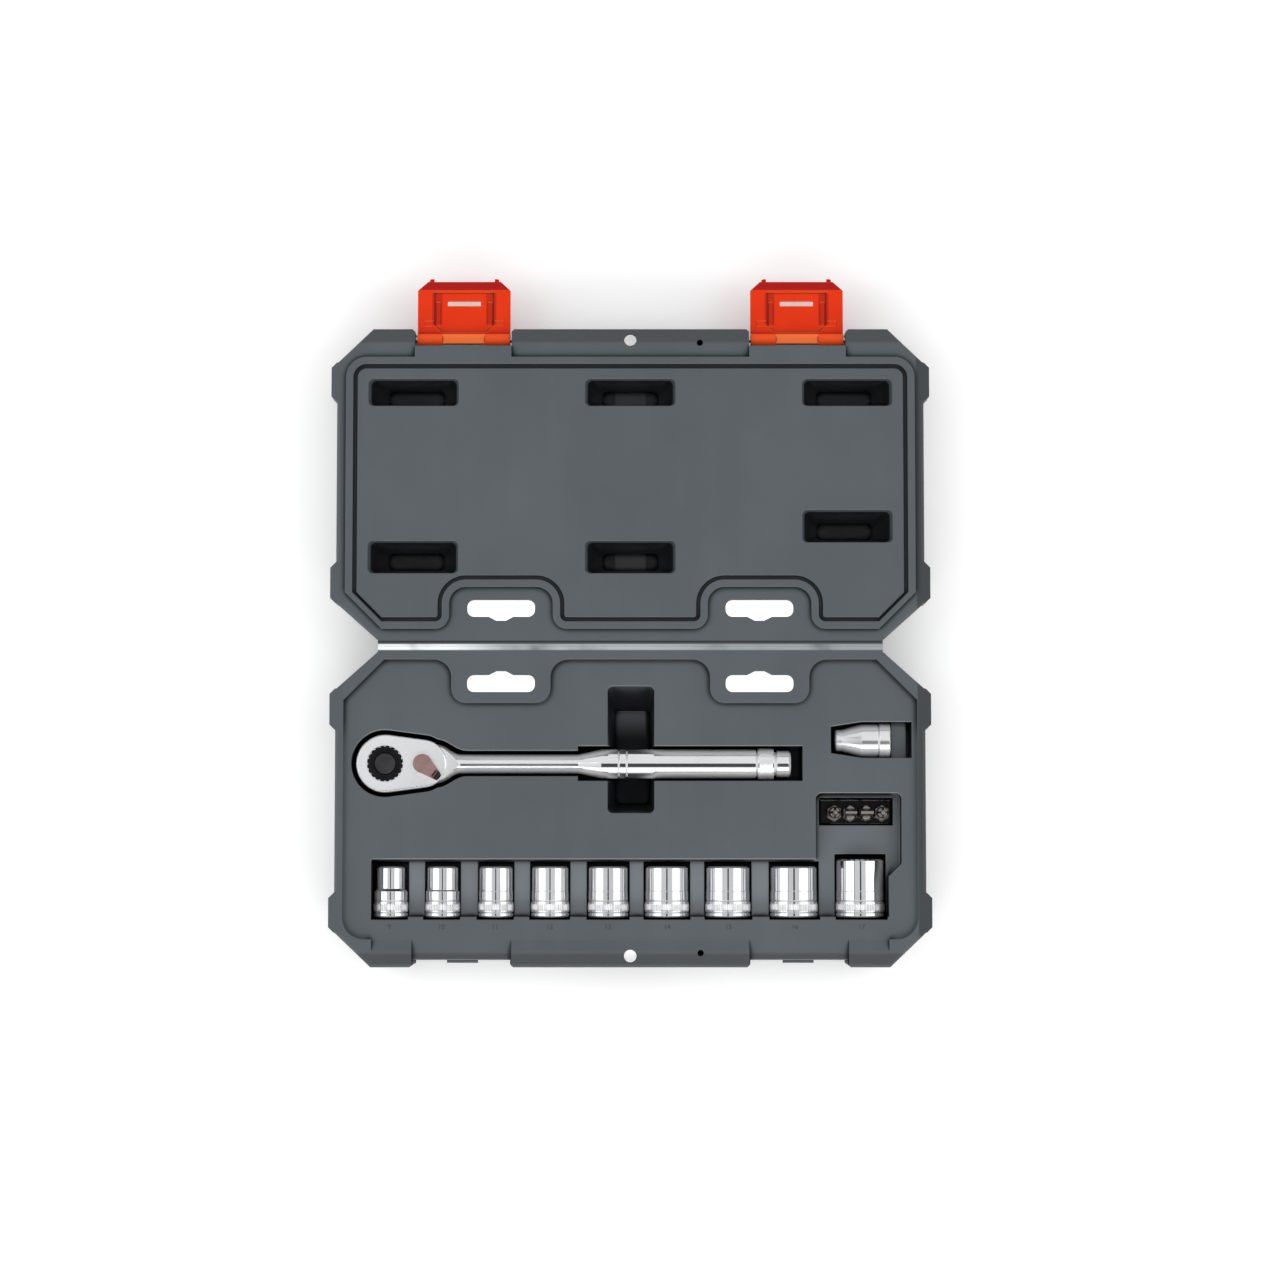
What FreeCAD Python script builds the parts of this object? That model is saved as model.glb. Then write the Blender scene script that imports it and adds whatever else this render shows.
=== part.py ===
"""Socket wrench set in a hinged blow-moulded case, lying open with the lid behind the base.

Millimetres, +Z up. The origin is the centre of the base's underside. The hinge line runs along X
behind the base; every depth is measured from that line, towards the front of its own half.
"""
import FreeCAD
import Part
import Sketcher
import math
import os

SIZES = {
    # case outline, shared by both halves
    "side_width": 285.2,
    "half_depth": 152.3,
    "half_height": 30.0,
    "hinge_gap": 5.0,
    "hinge_edge_width": 244.0,
    "hinge_corner_depth": 18.4,
    "front_edge_width": 250.0,
    "front_corner_depth": 16.8,
    "wall_draft": 3.0,
    "bottom_round": 4.0,
    "rim_round": 1.6,
    "web_thickness": 1.0,
    "web_root": 4.0,
    # corner bumpers on the sides
    "bumper_reach": 2.6,
    "bumper_height": 16.0,
    "rear_bumper_start": 23.2,
    "rear_bumper_length": 14.8,
    "front_bumper_start": 121.5,
    "front_bumper_length": 14.0,
    "bumper_root": 4.0,
    # hang slots and their flange tabs
    "hang_spacing": 125.0,
    "hang_depth": 18.2,
    "hang_length": 32.8,
    "hang_width": 8.2,
    "hang_round": 3.4,
    "hang_bump_length": 12.0,
    "hang_bump_top": 4.6,
    "hang_bump_rise": 1.9,
    "tab_half_width": 24.0,
    "tab_depth": 27.5,
    "tab_round": 7.0,
    "tab_root_round": 8.5,
    "tab_thickness": 3.0,
    # lock hole and blow-pin mark in the front flange
    "lock_hole_radius": 3.0,
    "lock_hole_inset": 5.5,
    "lock_tab_width": 40.0,
    "lock_tab_depth": 12.0,
    "lock_tab_thickness": 4.0,
    "blow_pin_x": 33.8,
    "blow_pin_inset": 7.0,
    "blow_pin_radius": 1.5,
    "blow_pin_depth": 6.0,
    # base deck
    "deck_drop": 2.5,
    "deck_side_margin": 4.1,
    "deck_hinge_depth": 6.5,
    "deck_front_margin": 13.6,
    "deck_corner_depth": 26.0,
    "deck_front_round": 10.5,
    "deck_ramp": 6.0,
    "deck_ramp_margin": 14.0,
    # lid rim rib, groove and panel
    "rib_fit": 0.5,
    "rib_height": 2.0,
    "rib_width": 3.6,
    "rib_tab_fit": 1.0,
    "rib_hinge_set_back": 1.7,
    "groove_width": 2.0,
    "panel_height": 1.1,
    # lid tack-off pockets
    "tack_length": 43.9,
    "tack_floor_length": 27.0,
    "tack_floor_width": 8.0,
    "tack_front_width": 13.2,
    "tack_rear_width": 15.8,
    "tack_spacing": 105.2,
    "tack_front_depth": 123.3,
    "tack_rear_depth": 43.0,
    "tack_odd_depth": 58.0,
    "tack_floor_height": 3.0,
    "tack_round": 2.5,
    # latches
    "latch_spacing": 162.4,
    "latch_width": 45.2,
    "notch_side_room": 0.85,
    "notch_flare": 1.6,
    "notch_pad_fit": 0.5,
    "base_notch_depth": 3.6,
    "lid_notch_depth": 8.6,
    "latch_pivot_inset": 5.0,
    "latch_pivot_drop": 5.0,
    "latch_barrel_radius": 3.2,
    "latch_pin_radius": 1.25,
    "latch_pin_seat": 3.0,
    "pin_fit": 0.05,
    "latch_plate_offset": 1.8,
    "latch_plate_thickness": 2.2,
    "latch_plate_length": 24.9,
    "latch_lip_length": 4.6,
    "latch_lip_drop": 2.6,
    "latch_corner": 4.8,
    "latch_ear_x": 15.9,
    "latch_ear_width": 2.2,
    "latch_ear_reach": 1.4,
    "latch_bar_width": 20.7,
    "latch_bar_radius": 2.5,
    "latch_bar_inset": 1.2,
    "latch_slot_length": 16.2,
    "latch_slot_width": 2.3,
    "latch_slot_distance": 18.4,
    "latch_field_half": 14.6,
    "latch_field_start": 4.4,
    "latch_field_end": 23.9,
    "latch_field_corner": 3.4,
    "latch_field_depth": 0.7,
    "catch_fit": 0.4,
    "catch_end_fit": 0.6,
    "catch_reach": 1.7,
    # rest gaps between a tool and its pocket
    "seat_gap": 0.3,
    "pocket_room": 0.6,
    "tool_top_drop": 0.7,
    # finger pocket under the ratchet shank
    "finger_left": -11.0,
    "finger_right": 11.6,
    "finger_start": 19.3,
    "finger_end": 80.7,
    "finger_floor_left": -7.5,
    "finger_floor_right": 9.8,
    "finger_floor_start": 30.4,
    "finger_floor_end": 76.0,
    "finger_floor_height": 6.0,
    "finger_round": 2.5,
    # shelf that the socket row and the bits are sunk into
    "shelf_height": 17.0,
    "shelf_half_width": 124.6,
    "shelf_start": 102.9,
    "shelf_end": 130.5,
    "bit_shelf_left": 89.5,
    "bit_shelf_right": 130.8,
    "bit_shelf_start": 71.0,
    "bit_shelf_corner_start": 104.7,
    "bit_shelf_corner_end": 111.0,
    "bit_shelf_round": 3.0,
    # bit holder and insert bits
    "holder_left": 91.5,
    "holder_length": 35.9,
    "holder_start": 73.0,
    "holder_width": 13.4,
    "holder_floor_height": 1.6,
    "holder_height": 13.0,
    "holder_edge": 1.0,
    "holder_fit": 0.1,
    "bit_depth": 80.3,
    "bit_centre_x": 110.6,
    "bit_pitch": 7.7,
    "bit_flats": 6.35,
    "bit_fit": 0.15,
    "bit_length": 25.0,
    "bit_shank_length": 15.0,
    "bit_chamfer": 0.6,
    "bit_neck_radius": 2.9,
    "cross_tip_length": 7.0,
    "cross_tip_radius": 0.9,
    "cross_wing_half": 0.55,
    "cross_wing_depth": 5.0,
    "blade_length": 7.0,
    "blade_thickness": 1.0,
    "blade_width": 5.4,
    "wide_blade_thickness": 1.2,
    "wide_blade_width": 6.0,
    # ratchet handle
    "head_x": -118.6,
    "head_depth": 56.7,
    "head_radius": 14.0,
    "head_height": 11.5,
    "head_rim_round": 0.9,
    "lever_distance": 18.1,
    "lever_end_radius": 11.6,
    "neck_start": 25.0,
    "neck_radius": 9.5,
    "neck_end": 36.5,
    "neck_pocket_run": 3.0,
    "neck_flat_height": 9.5,
    "shank_radius": 4.6,
    "shank_end": 93.4,
    "grip_start": 104.5,
    "grip_radius": 7.0,
    "bead_start": 112.6,
    "bead_end": 117.3,
    "bead_groove_width": 0.8,
    "bead_groove_depth": 0.8,
    "grip_end": 179.4,
    "ring_start": 180.4,
    "ring_end": 188.1,
    "ring_radius": 7.4,
    "cap_start": 189.6,
    "cap_radius": 6.4,
    "handle_length": 196.3,
    "cap_edge": 1.0,
    "head_pocket_room": 2.2,
    "shank_pocket_width": 12.3,
    "handle_pocket_start": -25.3,
    "handle_pocket_end": 83.2,
    "handle_pocket_width": 16.8,
    "handle_pocket_round": 4.0,
    "drive_well_room": 1.5,
    # ratchet mechanism
    "top_stack": 1.9,
    "drive_square": 9.5,
    "drive_length": 10.5,
    "drive_edge": 0.6,
    "cover_radius": 11.8,
    "cover_end_radius": 8.6,
    "cover_thickness": 1.5,
    "cover_fit": 0.1,
    "screw_x": 14.2,
    "screw_y": 7.0,
    "screw_radius": 1.15,
    "screw_length": 5.0,
    "screw_head_radius": 1.9,
    "screw_head_height": 0.8,
    "screw_fit": 0.1,
    "cavity_radius": 10.7,
    "cavity_roof": 3.0,
    "pawl_room_end": 23.2,
    "pawl_room_half": 5.6,
    "gear_teeth": 72,
    "gear_radius": 10.4,
    "gear_tooth_depth": 0.55,
    "gear_end_gap": 0.1,
    "hub_radius": 8.6,
    "hub_rise": 0.2,
    "collar_radius": 7.3,
    "running_fit": 0.1,
    "pawl_half_width": 4.8,
    "pawl_boss_radius": 4.2,
    "pawl_rock": 2.5,
    "mesh_gap": 0.08,
    "lever_disc_radius": 4.6,
    "lever_thickness": 1.6,
    "lever_lift": 0.2,
    "lever_spindle_radius": 3.0,
    "lever_journal_radius": 2.4,
    "lever_reach": 10.9,
    "lever_tip_radius": 2.3,
    "lever_swing": 40.0,
    "button_radius": 5.2,
    "button_proud": 1.7,
    "button_head_height": 3.2,
    "button_edge": 0.6,
    "button_travel": 2.0,
    "button_well_depth": 6.6,
    "stem_radius": 2.1,
    "stem_waist_radius": 1.3,
    "stem_ramp_length": 1.6,
    "stem_ramp_lead": 0.3,
    "stem_waist_length": 3.0,
    "stem_end_gap": 0.3,
    "drive_end_wall": 1.5,
    "stem_fit": 0.08,
    "ball_radius": 1.6,
    "ball_proud": 0.55,
    "ball_level": 5.2,
    "ball_fit": 0.06,
    # bit adapter
    "adapter_left": 99.4,
    "adapter_depth": 45.3,
    "adapter_length": 26.5,
    "adapter_radius": 8.2,
    "adapter_pocket_left": 96.9,
    "adapter_pocket_room": 0.5,
    "adapter_tip_pocket_room": 1.2,
    "adapter_step_end": 135.9,
    "adapter_step_height": 20.0,
    "adapter_gap_width": 2.2,
    "adapter_gap_depth": 8.0,
    "adapter_ring_length": 5.2,
    "adapter_ring_groove": 0.8,
    "adapter_body_radius": 7.9,
    "adapter_taper_start": 14.0,
    "adapter_taper_end": 23.5,
    "adapter_tip_radius": 5.2,
    "adapter_edge": 0.5,
    "adapter_hex_depth": 11.0,
    "magnet_radius": 2.5,
    "magnet_length": 2.0,
    "magnet_fit": 0.05,
    # sockets
    "socket_length": 24.5,
    "long_socket_length": 28.0,
    "row_front": 131.9,
    "row_end_room": 1.05,
    "row_nose_room": 2.55,
    "socket_edge": 0.6,
    "socket_nose_edge": 0.8,
    "socket_band_start": 2.0,
    "socket_band_length": 5.6,
    "socket_band_groove": 0.5,
    "socket_groove_depth": 0.6,
    "socket_body_drop": 0.25,
    "socket_shoulder": 12.5,
    "socket_drive_depth": 11.0,
    "socket_web": 1.5,
    "socket_hole_radius": 3.2,
    "socket_drive_fit": 0.15,
    "socket_hex_fit": 0.1,
    "socket_lead_in": 0.5,
}

# across flats: centre in the row, outside diameter at the drive end, outside diameter at the nose
SOCKETS = {
    9: (-115.9, 16.6, 13.5),
    10: (-90.8, 16.6, 14.8),
    11: (-65.0, 16.8, 16.0),
    12: (-38.8, 18.4, 17.6),
    13: (-10.7, 19.6, 18.9),
    14: (17.7, 21.4, 20.6),
    15: (47.3, 21.8, 21.0),
    16: (79.2, 23.2, 22.4),
    17: (111.4, 23.8, 23.0),
}
LONG_SOCKET = max(SOCKETS)
NECK_STEPS = 8
PAWL_STEPS = 8
for flats, (x, width, nose) in SOCKETS.items():
    SIZES["socket_%d_flats" % flats] = flats
    SIZES["socket_%d_x" % flats] = x
    SIZES["socket_%d_width" % flats] = width
    SIZES["socket_%d_nose" % flats] = nose


class Size:
    """A size as its number and as the sheet expression that it is bound to."""

    def __init__(self, value, text):
        self.value = value
        self.text = text

    def __add__(self, other):
        return combined(self, "+", other)

    def __radd__(self, other):
        return combined(other, "+", self)

    def __sub__(self, other):
        return combined(self, "-", other)

    def __rsub__(self, other):
        return combined(other, "-", self)

    def __mul__(self, other):
        return combined(self, "*", other)

    def __rmul__(self, other):
        return combined(other, "*", self)

    def __truediv__(self, other):
        return combined(self, "/", other)

    def __neg__(self):
        return combined(0, "-", self)


def as_size(item):
    return item if isinstance(item, Size) else Size(float(item), repr(item))


def combined(left, sign, right):
    a, b = as_size(left), as_size(right)
    value = {"+": a.value + b.value, "-": a.value - b.value, "*": a.value * b.value,
             "/": a.value / b.value if b.value else 0.0}[sign]
    return Size(value, "(%s %s %s)" % (a.text, sign, b.text))


def root(item):
    return Size(math.sqrt(item.value), "sqrt(%s)" % item.text)


class SheetSizes:
    """Every row of the sheet as a Size, by its alias."""

    def __init__(self, sheet, rows):
        for row, (alias, value) in enumerate(rows.items(), start=1):
            sheet.set("A%d" % row, alias)
            sheet.set("B%d" % row, str(value))
            sheet.setAlias("B%d" % row, alias)
            setattr(self, alias, Size(float(value), "dims.%s" % alias))


doc = FreeCAD.newDocument("socket_set")
sheet = doc.addObject("Spreadsheet::Sheet", "dims")
d = SheetSizes(sheet, SIZES)
doc.recompute()
ZERO = as_size(0)
SUBPARTS = []


# Feature helpers

def bind(feature, **sizes):
    for name, size in sizes.items():
        feature.setExpression(name, as_size(size).text)


def new_body(label):
    body = doc.addObject("PartDesign::Body", label)
    body.Label = label
    SUBPARTS.append(body)
    return body


def place(body, x=ZERO, y=ZERO, z=ZERO, axis=None, angle=0):
    if axis:
        body.Placement = FreeCAD.Placement(FreeCAD.Vector(), FreeCAD.Rotation(FreeCAD.Vector(*axis), angle))
    for name, size in (("x", x), ("y", y), ("z", z)):
        body.setExpression("Placement.Base.%s" % name, as_size(size).text)


def attach(body, feature, plane, offset):
    """Seat a sketch on one of its body's origin planes, moved by an offset in that plane's axes."""
    support = next(item for item in body.Origin.OriginFeatures if item.Role == plane)
    feature.AttachmentSupport = (support, [""])
    feature.MapMode = "FlatFace"
    for name, size in zip("xyz", offset):
        feature.setExpression("AttachmentOffset.Base.%s" % name, as_size(size).text)


def polygons(body, name, loops, plane="XY_Plane", level=ZERO):
    """Closed loops of straight lines in one sketch, every corner tied to the origin by two sizes."""
    sketch = body.newObject("Sketcher::SketchObject", name)
    attach(body, sketch, plane, (ZERO, ZERO, level))
    first = 0
    for loop in loops:
        corners = [(as_size(x), as_size(y)) for x, y in loop]
        points = [FreeCAD.Vector(x.value, y.value, 0) for x, y in corners]
        links = [(i, (i + 1) % len(points)) for i in range(len(points))]
        sketch.addGeometry([Part.LineSegment(points[i], points[after]) for i, after in links], False)
        sketch.addConstraint([Sketcher.Constraint("Coincident", first + i, 2, first + after, 1)
                              for i, after in links])
        ties = [(kind, first + i, size) for i, corner in enumerate(corners)
                for kind, size in zip(("DistanceX", "DistanceY"), corner)]
        rows = sketch.addConstraint([Sketcher.Constraint(kind, -1, 1, i, 1, size.value)
                                     for kind, i, size in ties])
        for row, (kind, i, size) in zip(rows, ties):
            sketch.setExpression("Constraints[%d]" % row, size.text)
        first += len(points)
    return sketch


def polygon(body, name, corners, plane="XY_Plane", level=ZERO):
    return polygons(body, name, [corners], plane, level)


def circles(body, name, rounds, plane="XY_Plane", level=ZERO):
    """Circles in one sketch, each given by its centre and radius and tied to the origin."""
    sketch = body.newObject("Sketcher::SketchObject", name)
    attach(body, sketch, plane, (ZERO, ZERO, level))
    for i, (x, y, radius) in enumerate(rounds):
        x, y, radius = as_size(x), as_size(y), as_size(radius)
        middle = FreeCAD.Vector(x.value, y.value, 0)
        sketch.addGeometry(Part.Circle(middle, FreeCAD.Vector(0, 0, 1), radius.value), False)
        for kind, links, size in (("DistanceX", (-1, 1, i, 3), x), ("DistanceY", (-1, 1, i, 3), y),
                                  ("Radius", (i,), radius)):
            row = sketch.addConstraint(Sketcher.Constraint(kind, *links, size.value))
            sketch.setExpression("Constraints[%d]" % row, size.text)
    return sketch


def pad(body, name, sketch, length, draft=None, down=False):
    feature = body.newObject("PartDesign::Pad", name)
    feature.Profile = sketch
    feature.Reversed = down
    bind(feature, Length=length)
    if draft:
        bind(feature, TaperAngle=-draft)
    return feature


def pocket(body, name, sketch, depth):
    feature = body.newObject("PartDesign::Pocket", name)
    feature.Profile = sketch
    bind(feature, Length=depth)
    return feature


def cylinder(body, kind, name, radius, height, offset, plane="XY_Plane"):
    """A padded or cut cylinder that rises from an origin plane, moved in that plane's axes."""
    x, y, level = offset
    return raised(body, kind, name, circles(body, name + "_circle", [(x, y, radius)], plane, level), height)


def raised(body, kind, name, sketch, height):
    """A pad or pocket along its sketch's own normal."""
    feature = body.newObject("PartDesign::%s" % kind, name)
    feature.Profile = sketch
    feature.Reversed = kind == "Pocket"
    bind(feature, Length=height)
    return feature


def revolve(body, kind, name, corners, axis):
    """A turned shape from a half profile in the XZ plane, about the sketch's own H or V axis."""
    sketch = polygon(body, name + "_profile", corners, "XZ_Plane")
    feature = body.newObject("PartDesign::%s" % kind, name)
    feature.Profile = sketch
    feature.ReferenceAxis = (sketch, [axis])
    feature.Angle = 360
    return feature


def edge_names(body, test):
    doc.recompute()
    return ["Edge%d" % (i + 1) for i, edge in enumerate(body.Tip.Shape.Edges) if test(edge)]


def round_off(body, name, radius, test, kind="Fillet"):
    """Round or chamfer the edges of the body's last feature that pass a test."""
    names = edge_names(body, test)
    if not names:
        raise RuntimeError("%s: no edge to round" % name)
    base = body.Tip
    feature = body.newObject("PartDesign::%s" % kind, name)
    feature.Base = (base, names)
    bind(feature, **{"Radius" if kind == "Fillet" else "Size": radius})
    return feature


def near(a, b):
    return abs(as_size(a).value - as_size(b).value) < 0.01


def upright_at(corners, low, high):
    """A test for vertical edges that stand on one of the corners, between two levels."""
    spots = [(as_size(x), as_size(y)) for x, y in corners]

    def test(edge):
        first, last = edge.Vertexes[0].Point, edge.Vertexes[-1].Point
        if len(edge.Vertexes) != 2 or not near(first.x, last.x) or not near(first.y, last.y):
            return False
        if min(first.z, last.z) < low.value - 0.01 or max(first.z, last.z) > high.value + 0.01:
            return False
        return any(near(first.x, x) and near(first.y, y) for x, y in spots)
    return test


def flat_at(level):
    """A test for edges that lie wholly at one level."""
    def test(edge):
        box_of = edge.BoundBox
        return near(box_of.ZMin, level) and near(box_of.ZMax, level)
    return test


def spans(low, high):
    """A test for edges that run from one level up to another."""
    def test(edge):
        return near(edge.BoundBox.ZMin, low) and near(edge.BoundBox.ZMax, high)
    return test


def between(body, name, first, last):
    """A cut with straight walls from one outline to another."""
    loft = body.newObject("PartDesign::SubtractiveLoft", name)
    loft.Profile = first
    loft.Sections = [last]
    loft.Ruled = True


# Levels and lines that several pieces share

hinge_y = (d.half_depth + d.hinge_gap) / 2
rear_edge = d.hinge_gap / 2
front_edge = rear_edge + d.half_depth
parting = d.half_height
deck_level = parting - d.deck_drop
tool_top = deck_level - d.tool_top_drop
latch_pivot = front_edge - d.latch_pivot_inset
notch_half = d.latch_width / 2 + d.notch_side_room
over = as_size(1)


def mirrored(corners):
    """A right-hand run of corners, followed by its mirror image in X, as one closed outline."""
    return corners + [(-x, y) for x, y in reversed(corners)]


def block(x, half_width, near_y, far_y):
    """Corners of a rectangle centred in X."""
    left, right = x - half_width, x + half_width
    return [(left, near_y), (right, near_y), (right, far_y), (left, far_y)]


def half_outline(turn):
    return mirrored([
        (d.hinge_edge_width / 2, turn * rear_edge),
        (d.side_width / 2, turn * (rear_edge + d.hinge_corner_depth)),
        (d.side_width / 2, turn * (front_edge - d.front_corner_depth)),
        (d.front_edge_width / 2, turn * front_edge),
    ])


def tab_corners(turn, half_width, end):
    centre = d.hang_spacing / 2
    return [(centre - half_width, turn * end), (centre + half_width, turn * end)]


def inner_outline(turn, side, rear, front, half_width, end):
    """A line inside the rim that steps round the two hang tabs and cuts the hinge corners off."""
    return mirrored([
        tab_roots(turn, half_width, rear)[0],
        *tab_corners(turn, half_width, end),
        tab_roots(turn, half_width, rear)[1],
        (side - d.deck_corner_depth + rear, turn * rear),
        (side, turn * d.deck_corner_depth),
        (side, turn * front),
    ])


def tab_roots(turn, half_width, rear):
    centre = d.hang_spacing / 2
    return [(centre - half_width, turn * rear), (centre + half_width, turn * rear)]


def both_sides(corners):
    return corners + [(-x, y) for x, y in corners]


def notch_corners(x, turn, depth):
    """A latch notch, straight at its back and flared towards the front edge."""
    mouth = notch_half + d.notch_flare
    right = [(notch_half, turn * (front_edge - depth)), (notch_half, turn * (front_edge - d.notch_flare)),
             (mouth, turn * front_edge), (mouth, turn * (front_edge + over))]
    return [(x + across, y) for across, y in mirrored(right)]


def on_rim(turn):
    """A test for the outer edges of a half's parting face, but for the one along the hinge."""
    corners = [FreeCAD.Vector(x.value, y.value, parting.value) for x, y in half_outline(turn)]
    sides = [Part.makeLine(a, b) for a, b in zip(corners, corners[1:] + corners[:1])]
    outer = [side for side in sides if not near(turn * side.BoundBox.Center.y, rear_edge)]

    def test(edge):
        middle = Part.Vertex(edge.BoundBox.Center)
        return flat_at(parting)(edge) and any(side.distToShape(middle)[0] < 0.01 for side in outer)
    return test


def case_tray(label, turn):
    """One half as a drafted block with a round bottom edge."""
    body = new_body(label)
    place(body, y=hinge_y)
    pad(body, label + "_tray", polygon(body, label + "_outline", half_outline(turn), level=parting),
        parting, draft=d.wall_draft, down=True)
    round_off(body, label + "_bottom_round", d.bottom_round, flat_at(ZERO))
    return body


def fit_out(body, label, turn, notch_depth):
    """Round one half's rim and add its bumpers, hinge web, latch notches and flange holes."""
    round_off(body, label + "_rim_round", d.rim_round, on_rim(turn))
    inside, outside = d.side_width / 2 - d.bumper_root, d.side_width / 2 + d.bumper_reach
    bumpers = [[
        (side * inside, turn * (start - d.bumper_reach)),
        (side * (outside - d.bumper_reach), turn * (start - d.bumper_reach)),
        (side * outside, turn * start),
        (side * outside, turn * (start + length)),
        (side * (outside - d.bumper_reach), turn * (start + length + d.bumper_reach)),
        (side * inside, turn * (start + length + d.bumper_reach)),
    ] for side in (-1, 1) for start, length in ((d.rear_bumper_start, d.rear_bumper_length),
                                                (d.front_bumper_start, d.front_bumper_length))]
    pad(body, label + "_bumpers", polygons(body, label + "_bumper_lines", bumpers, level=parting),
        d.bumper_height, down=True)
    web = polygon(body, label + "_web_line", [
        (-d.hinge_edge_width / 2, ZERO), (d.hinge_edge_width / 2, ZERO),
        (d.hinge_edge_width / 2, turn * (rear_edge + d.web_root)),
        (-d.hinge_edge_width / 2, turn * (rear_edge + d.web_root)),
    ], level=parting)
    pad(body, label + "_web", web, d.web_thickness, down=True)
    notches = [notch_corners(side * d.latch_spacing / 2, turn, notch_depth) for side in (-1, 1)]
    pocket(body, label + "_notches", polygons(body, label + "_notch_lines", notches, level=parting), parting)
    hang_slots(body, label, turn)
    lock_y = turn * (front_edge - d.lock_hole_inset)
    relief = polygon(body, label + "_lock_relief_line", block(
        ZERO, d.lock_tab_width / 2, turn * (front_edge - d.lock_tab_depth), turn * (front_edge + over)),
        level=parting - d.lock_tab_thickness)
    pocket(body, label + "_lock_relief", relief, parting - d.lock_tab_thickness)
    cylinder(body, "Pocket", label + "_lock_hole", d.lock_hole_radius, parting, (ZERO, lock_y, ZERO))
    cylinder(body, "Pocket", label + "_blow_pin", d.blow_pin_radius, d.blow_pin_depth,
             (d.blow_pin_x, turn * (front_edge - d.blow_pin_inset), parting - d.blow_pin_depth))


def hang_slots(body, label, turn):
    """Thin tabs beside the hinge, each with a round-cornered slot and a peg rise towards the hinge."""
    places = [side * d.hang_spacing / 2 for side in (-1, 1)]
    y = turn * d.hang_depth
    reliefs = [block(x, d.tab_half_width, turn * (rear_edge - over), turn * d.tab_depth) for x in places]
    under_tab = parting - d.tab_thickness
    pocket(body, label + "_tab_reliefs",
           polygons(body, label + "_tab_relief_lines", reliefs, level=under_tab), under_tab)
    slots = [block(x, d.hang_length / 2, y - d.hang_width / 2, y + d.hang_width / 2) for x in places]
    pocket(body, label + "_slots", polygons(body, label + "_slot_lines", slots, level=parting),
           d.tab_thickness + over)
    round_off(body, label + "_slot_rounds", d.hang_round,
              upright_at([corner for slot in slots for corner in slot], under_tab, parting))
    edge = y - turn * d.hang_width / 2
    rises = [[(x - d.hang_bump_length / 2, edge), (x - d.hang_bump_top / 2, edge - turn * d.hang_bump_rise),
              (x + d.hang_bump_top / 2, edge - turn * d.hang_bump_rise), (x + d.hang_bump_length / 2, edge),
              (x + d.hang_bump_length / 2, y), (x - d.hang_bump_length / 2, y)] for x in places]
    pocket(body, label + "_rises", polygons(body, label + "_rise_lines", rises, level=parting),
           d.tab_thickness + over)


# Case base

base = case_tray("case_base", -1)
deck_side = d.side_width / 2 - d.deck_side_margin
deck_front = front_edge - d.deck_front_margin
deck = polygon(base, "deck_line", inner_outline(-1, deck_side, d.deck_hinge_depth, deck_front,
                                                d.tab_half_width, d.tab_depth), level=parting)
pocket(base, "deck", deck, d.deck_drop)
round_off(base, "deck_front_round", d.deck_front_round,
          upright_at(both_sides([(deck_side, -deck_front)]), deck_level, parting))
round_off(base, "deck_tab_round", d.tab_round,
          upright_at(both_sides(tab_corners(-1, d.tab_half_width, d.tab_depth)), deck_level, parting))
round_off(base, "deck_tab_root", d.tab_root_round,
          upright_at(both_sides(tab_roots(-1, d.tab_half_width, d.deck_hinge_depth)), deck_level, parting))
fit_out(base, "case_base", -1, d.base_notch_depth)
ramp = polygon(base, "deck_ramp_line", [
    (-deck_front + over, deck_level), (-deck_front, deck_level), (-deck_front - d.deck_ramp, parting),
    (-deck_front + over, parting)], plane="YZ_Plane", level=d.deck_ramp_margin - deck_side)
raised(base, "Pocket", "deck_ramp", ramp, 2 * (deck_side - d.deck_ramp_margin))
pad_room = [block(side * d.latch_spacing / 2, notch_half + d.notch_pad_fit, -deck_front + over, -front_edge)
            for side in (-1, 1)]
pocket(base, "latch_pad_room", polygons(base, "latch_pad_room_lines", pad_room, level=parting), d.deck_drop)

# Catch nub on each base notch wall, which the closed latch's slot drops over

catch_wall = front_edge - d.base_notch_depth
catch_level = parting + d.latch_pivot_drop - d.latch_slot_distance
catch_half = d.latch_slot_width / 2 - d.catch_fit
for side in (-1, 1):
    half = d.latch_slot_length / 2 - d.catch_end_fit
    nub = polygon(base, "catch_line_%s" % "lr"[side > 0], [
        (-catch_wall + over, catch_level - catch_half), (-catch_wall, catch_level - catch_half),
        (-catch_wall - d.catch_reach, catch_level - catch_half / 2),
        (-catch_wall - d.catch_reach, catch_level + catch_half / 2),
        (-catch_wall, catch_level + catch_half), (-catch_wall + over, catch_level + catch_half),
    ], plane="YZ_Plane", level=side * d.latch_spacing / 2 - half)
    pad(base, "catch_%s" % "lr"[side > 0], nub, 2 * half)

# Shelf that the socket row and the bits are sunk into

shelf = polygon(base, "shelf_line", [
    (-d.shelf_half_width, -d.shelf_start), (-d.shelf_half_width, -d.shelf_end),
    (d.shelf_half_width, -d.shelf_end), (d.shelf_half_width, -d.bit_shelf_corner_end),
    (d.bit_shelf_right, -d.bit_shelf_corner_start), (d.bit_shelf_right, -d.bit_shelf_start),
    (d.bit_shelf_left, -d.bit_shelf_start), (d.bit_shelf_left, -d.shelf_start),
], level=parting)
pocket(base, "shelf", shelf, parting - d.shelf_height)
shelf_corners = [(x, -d.bit_shelf_start) for x in (d.bit_shelf_left, d.bit_shelf_right)]
round_off(base, "shelf_round", d.bit_shelf_round, upright_at(shelf_corners, d.shelf_height, parting))


def rectangle(left, right, start, end):
    """Corners of a rectangle in the base, from its depths."""
    return [(left, -start), (right, -start), (right, -end), (left, -end)]


def socket_length(flats):
    return d.long_socket_length if flats == LONG_SOCKET else d.socket_length


def trough_length(length):
    return length + d.row_end_room + d.row_nose_room


def socket_axis_height(flats):
    return tool_top - getattr(d, "socket_%d_width" % flats) / 2


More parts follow.
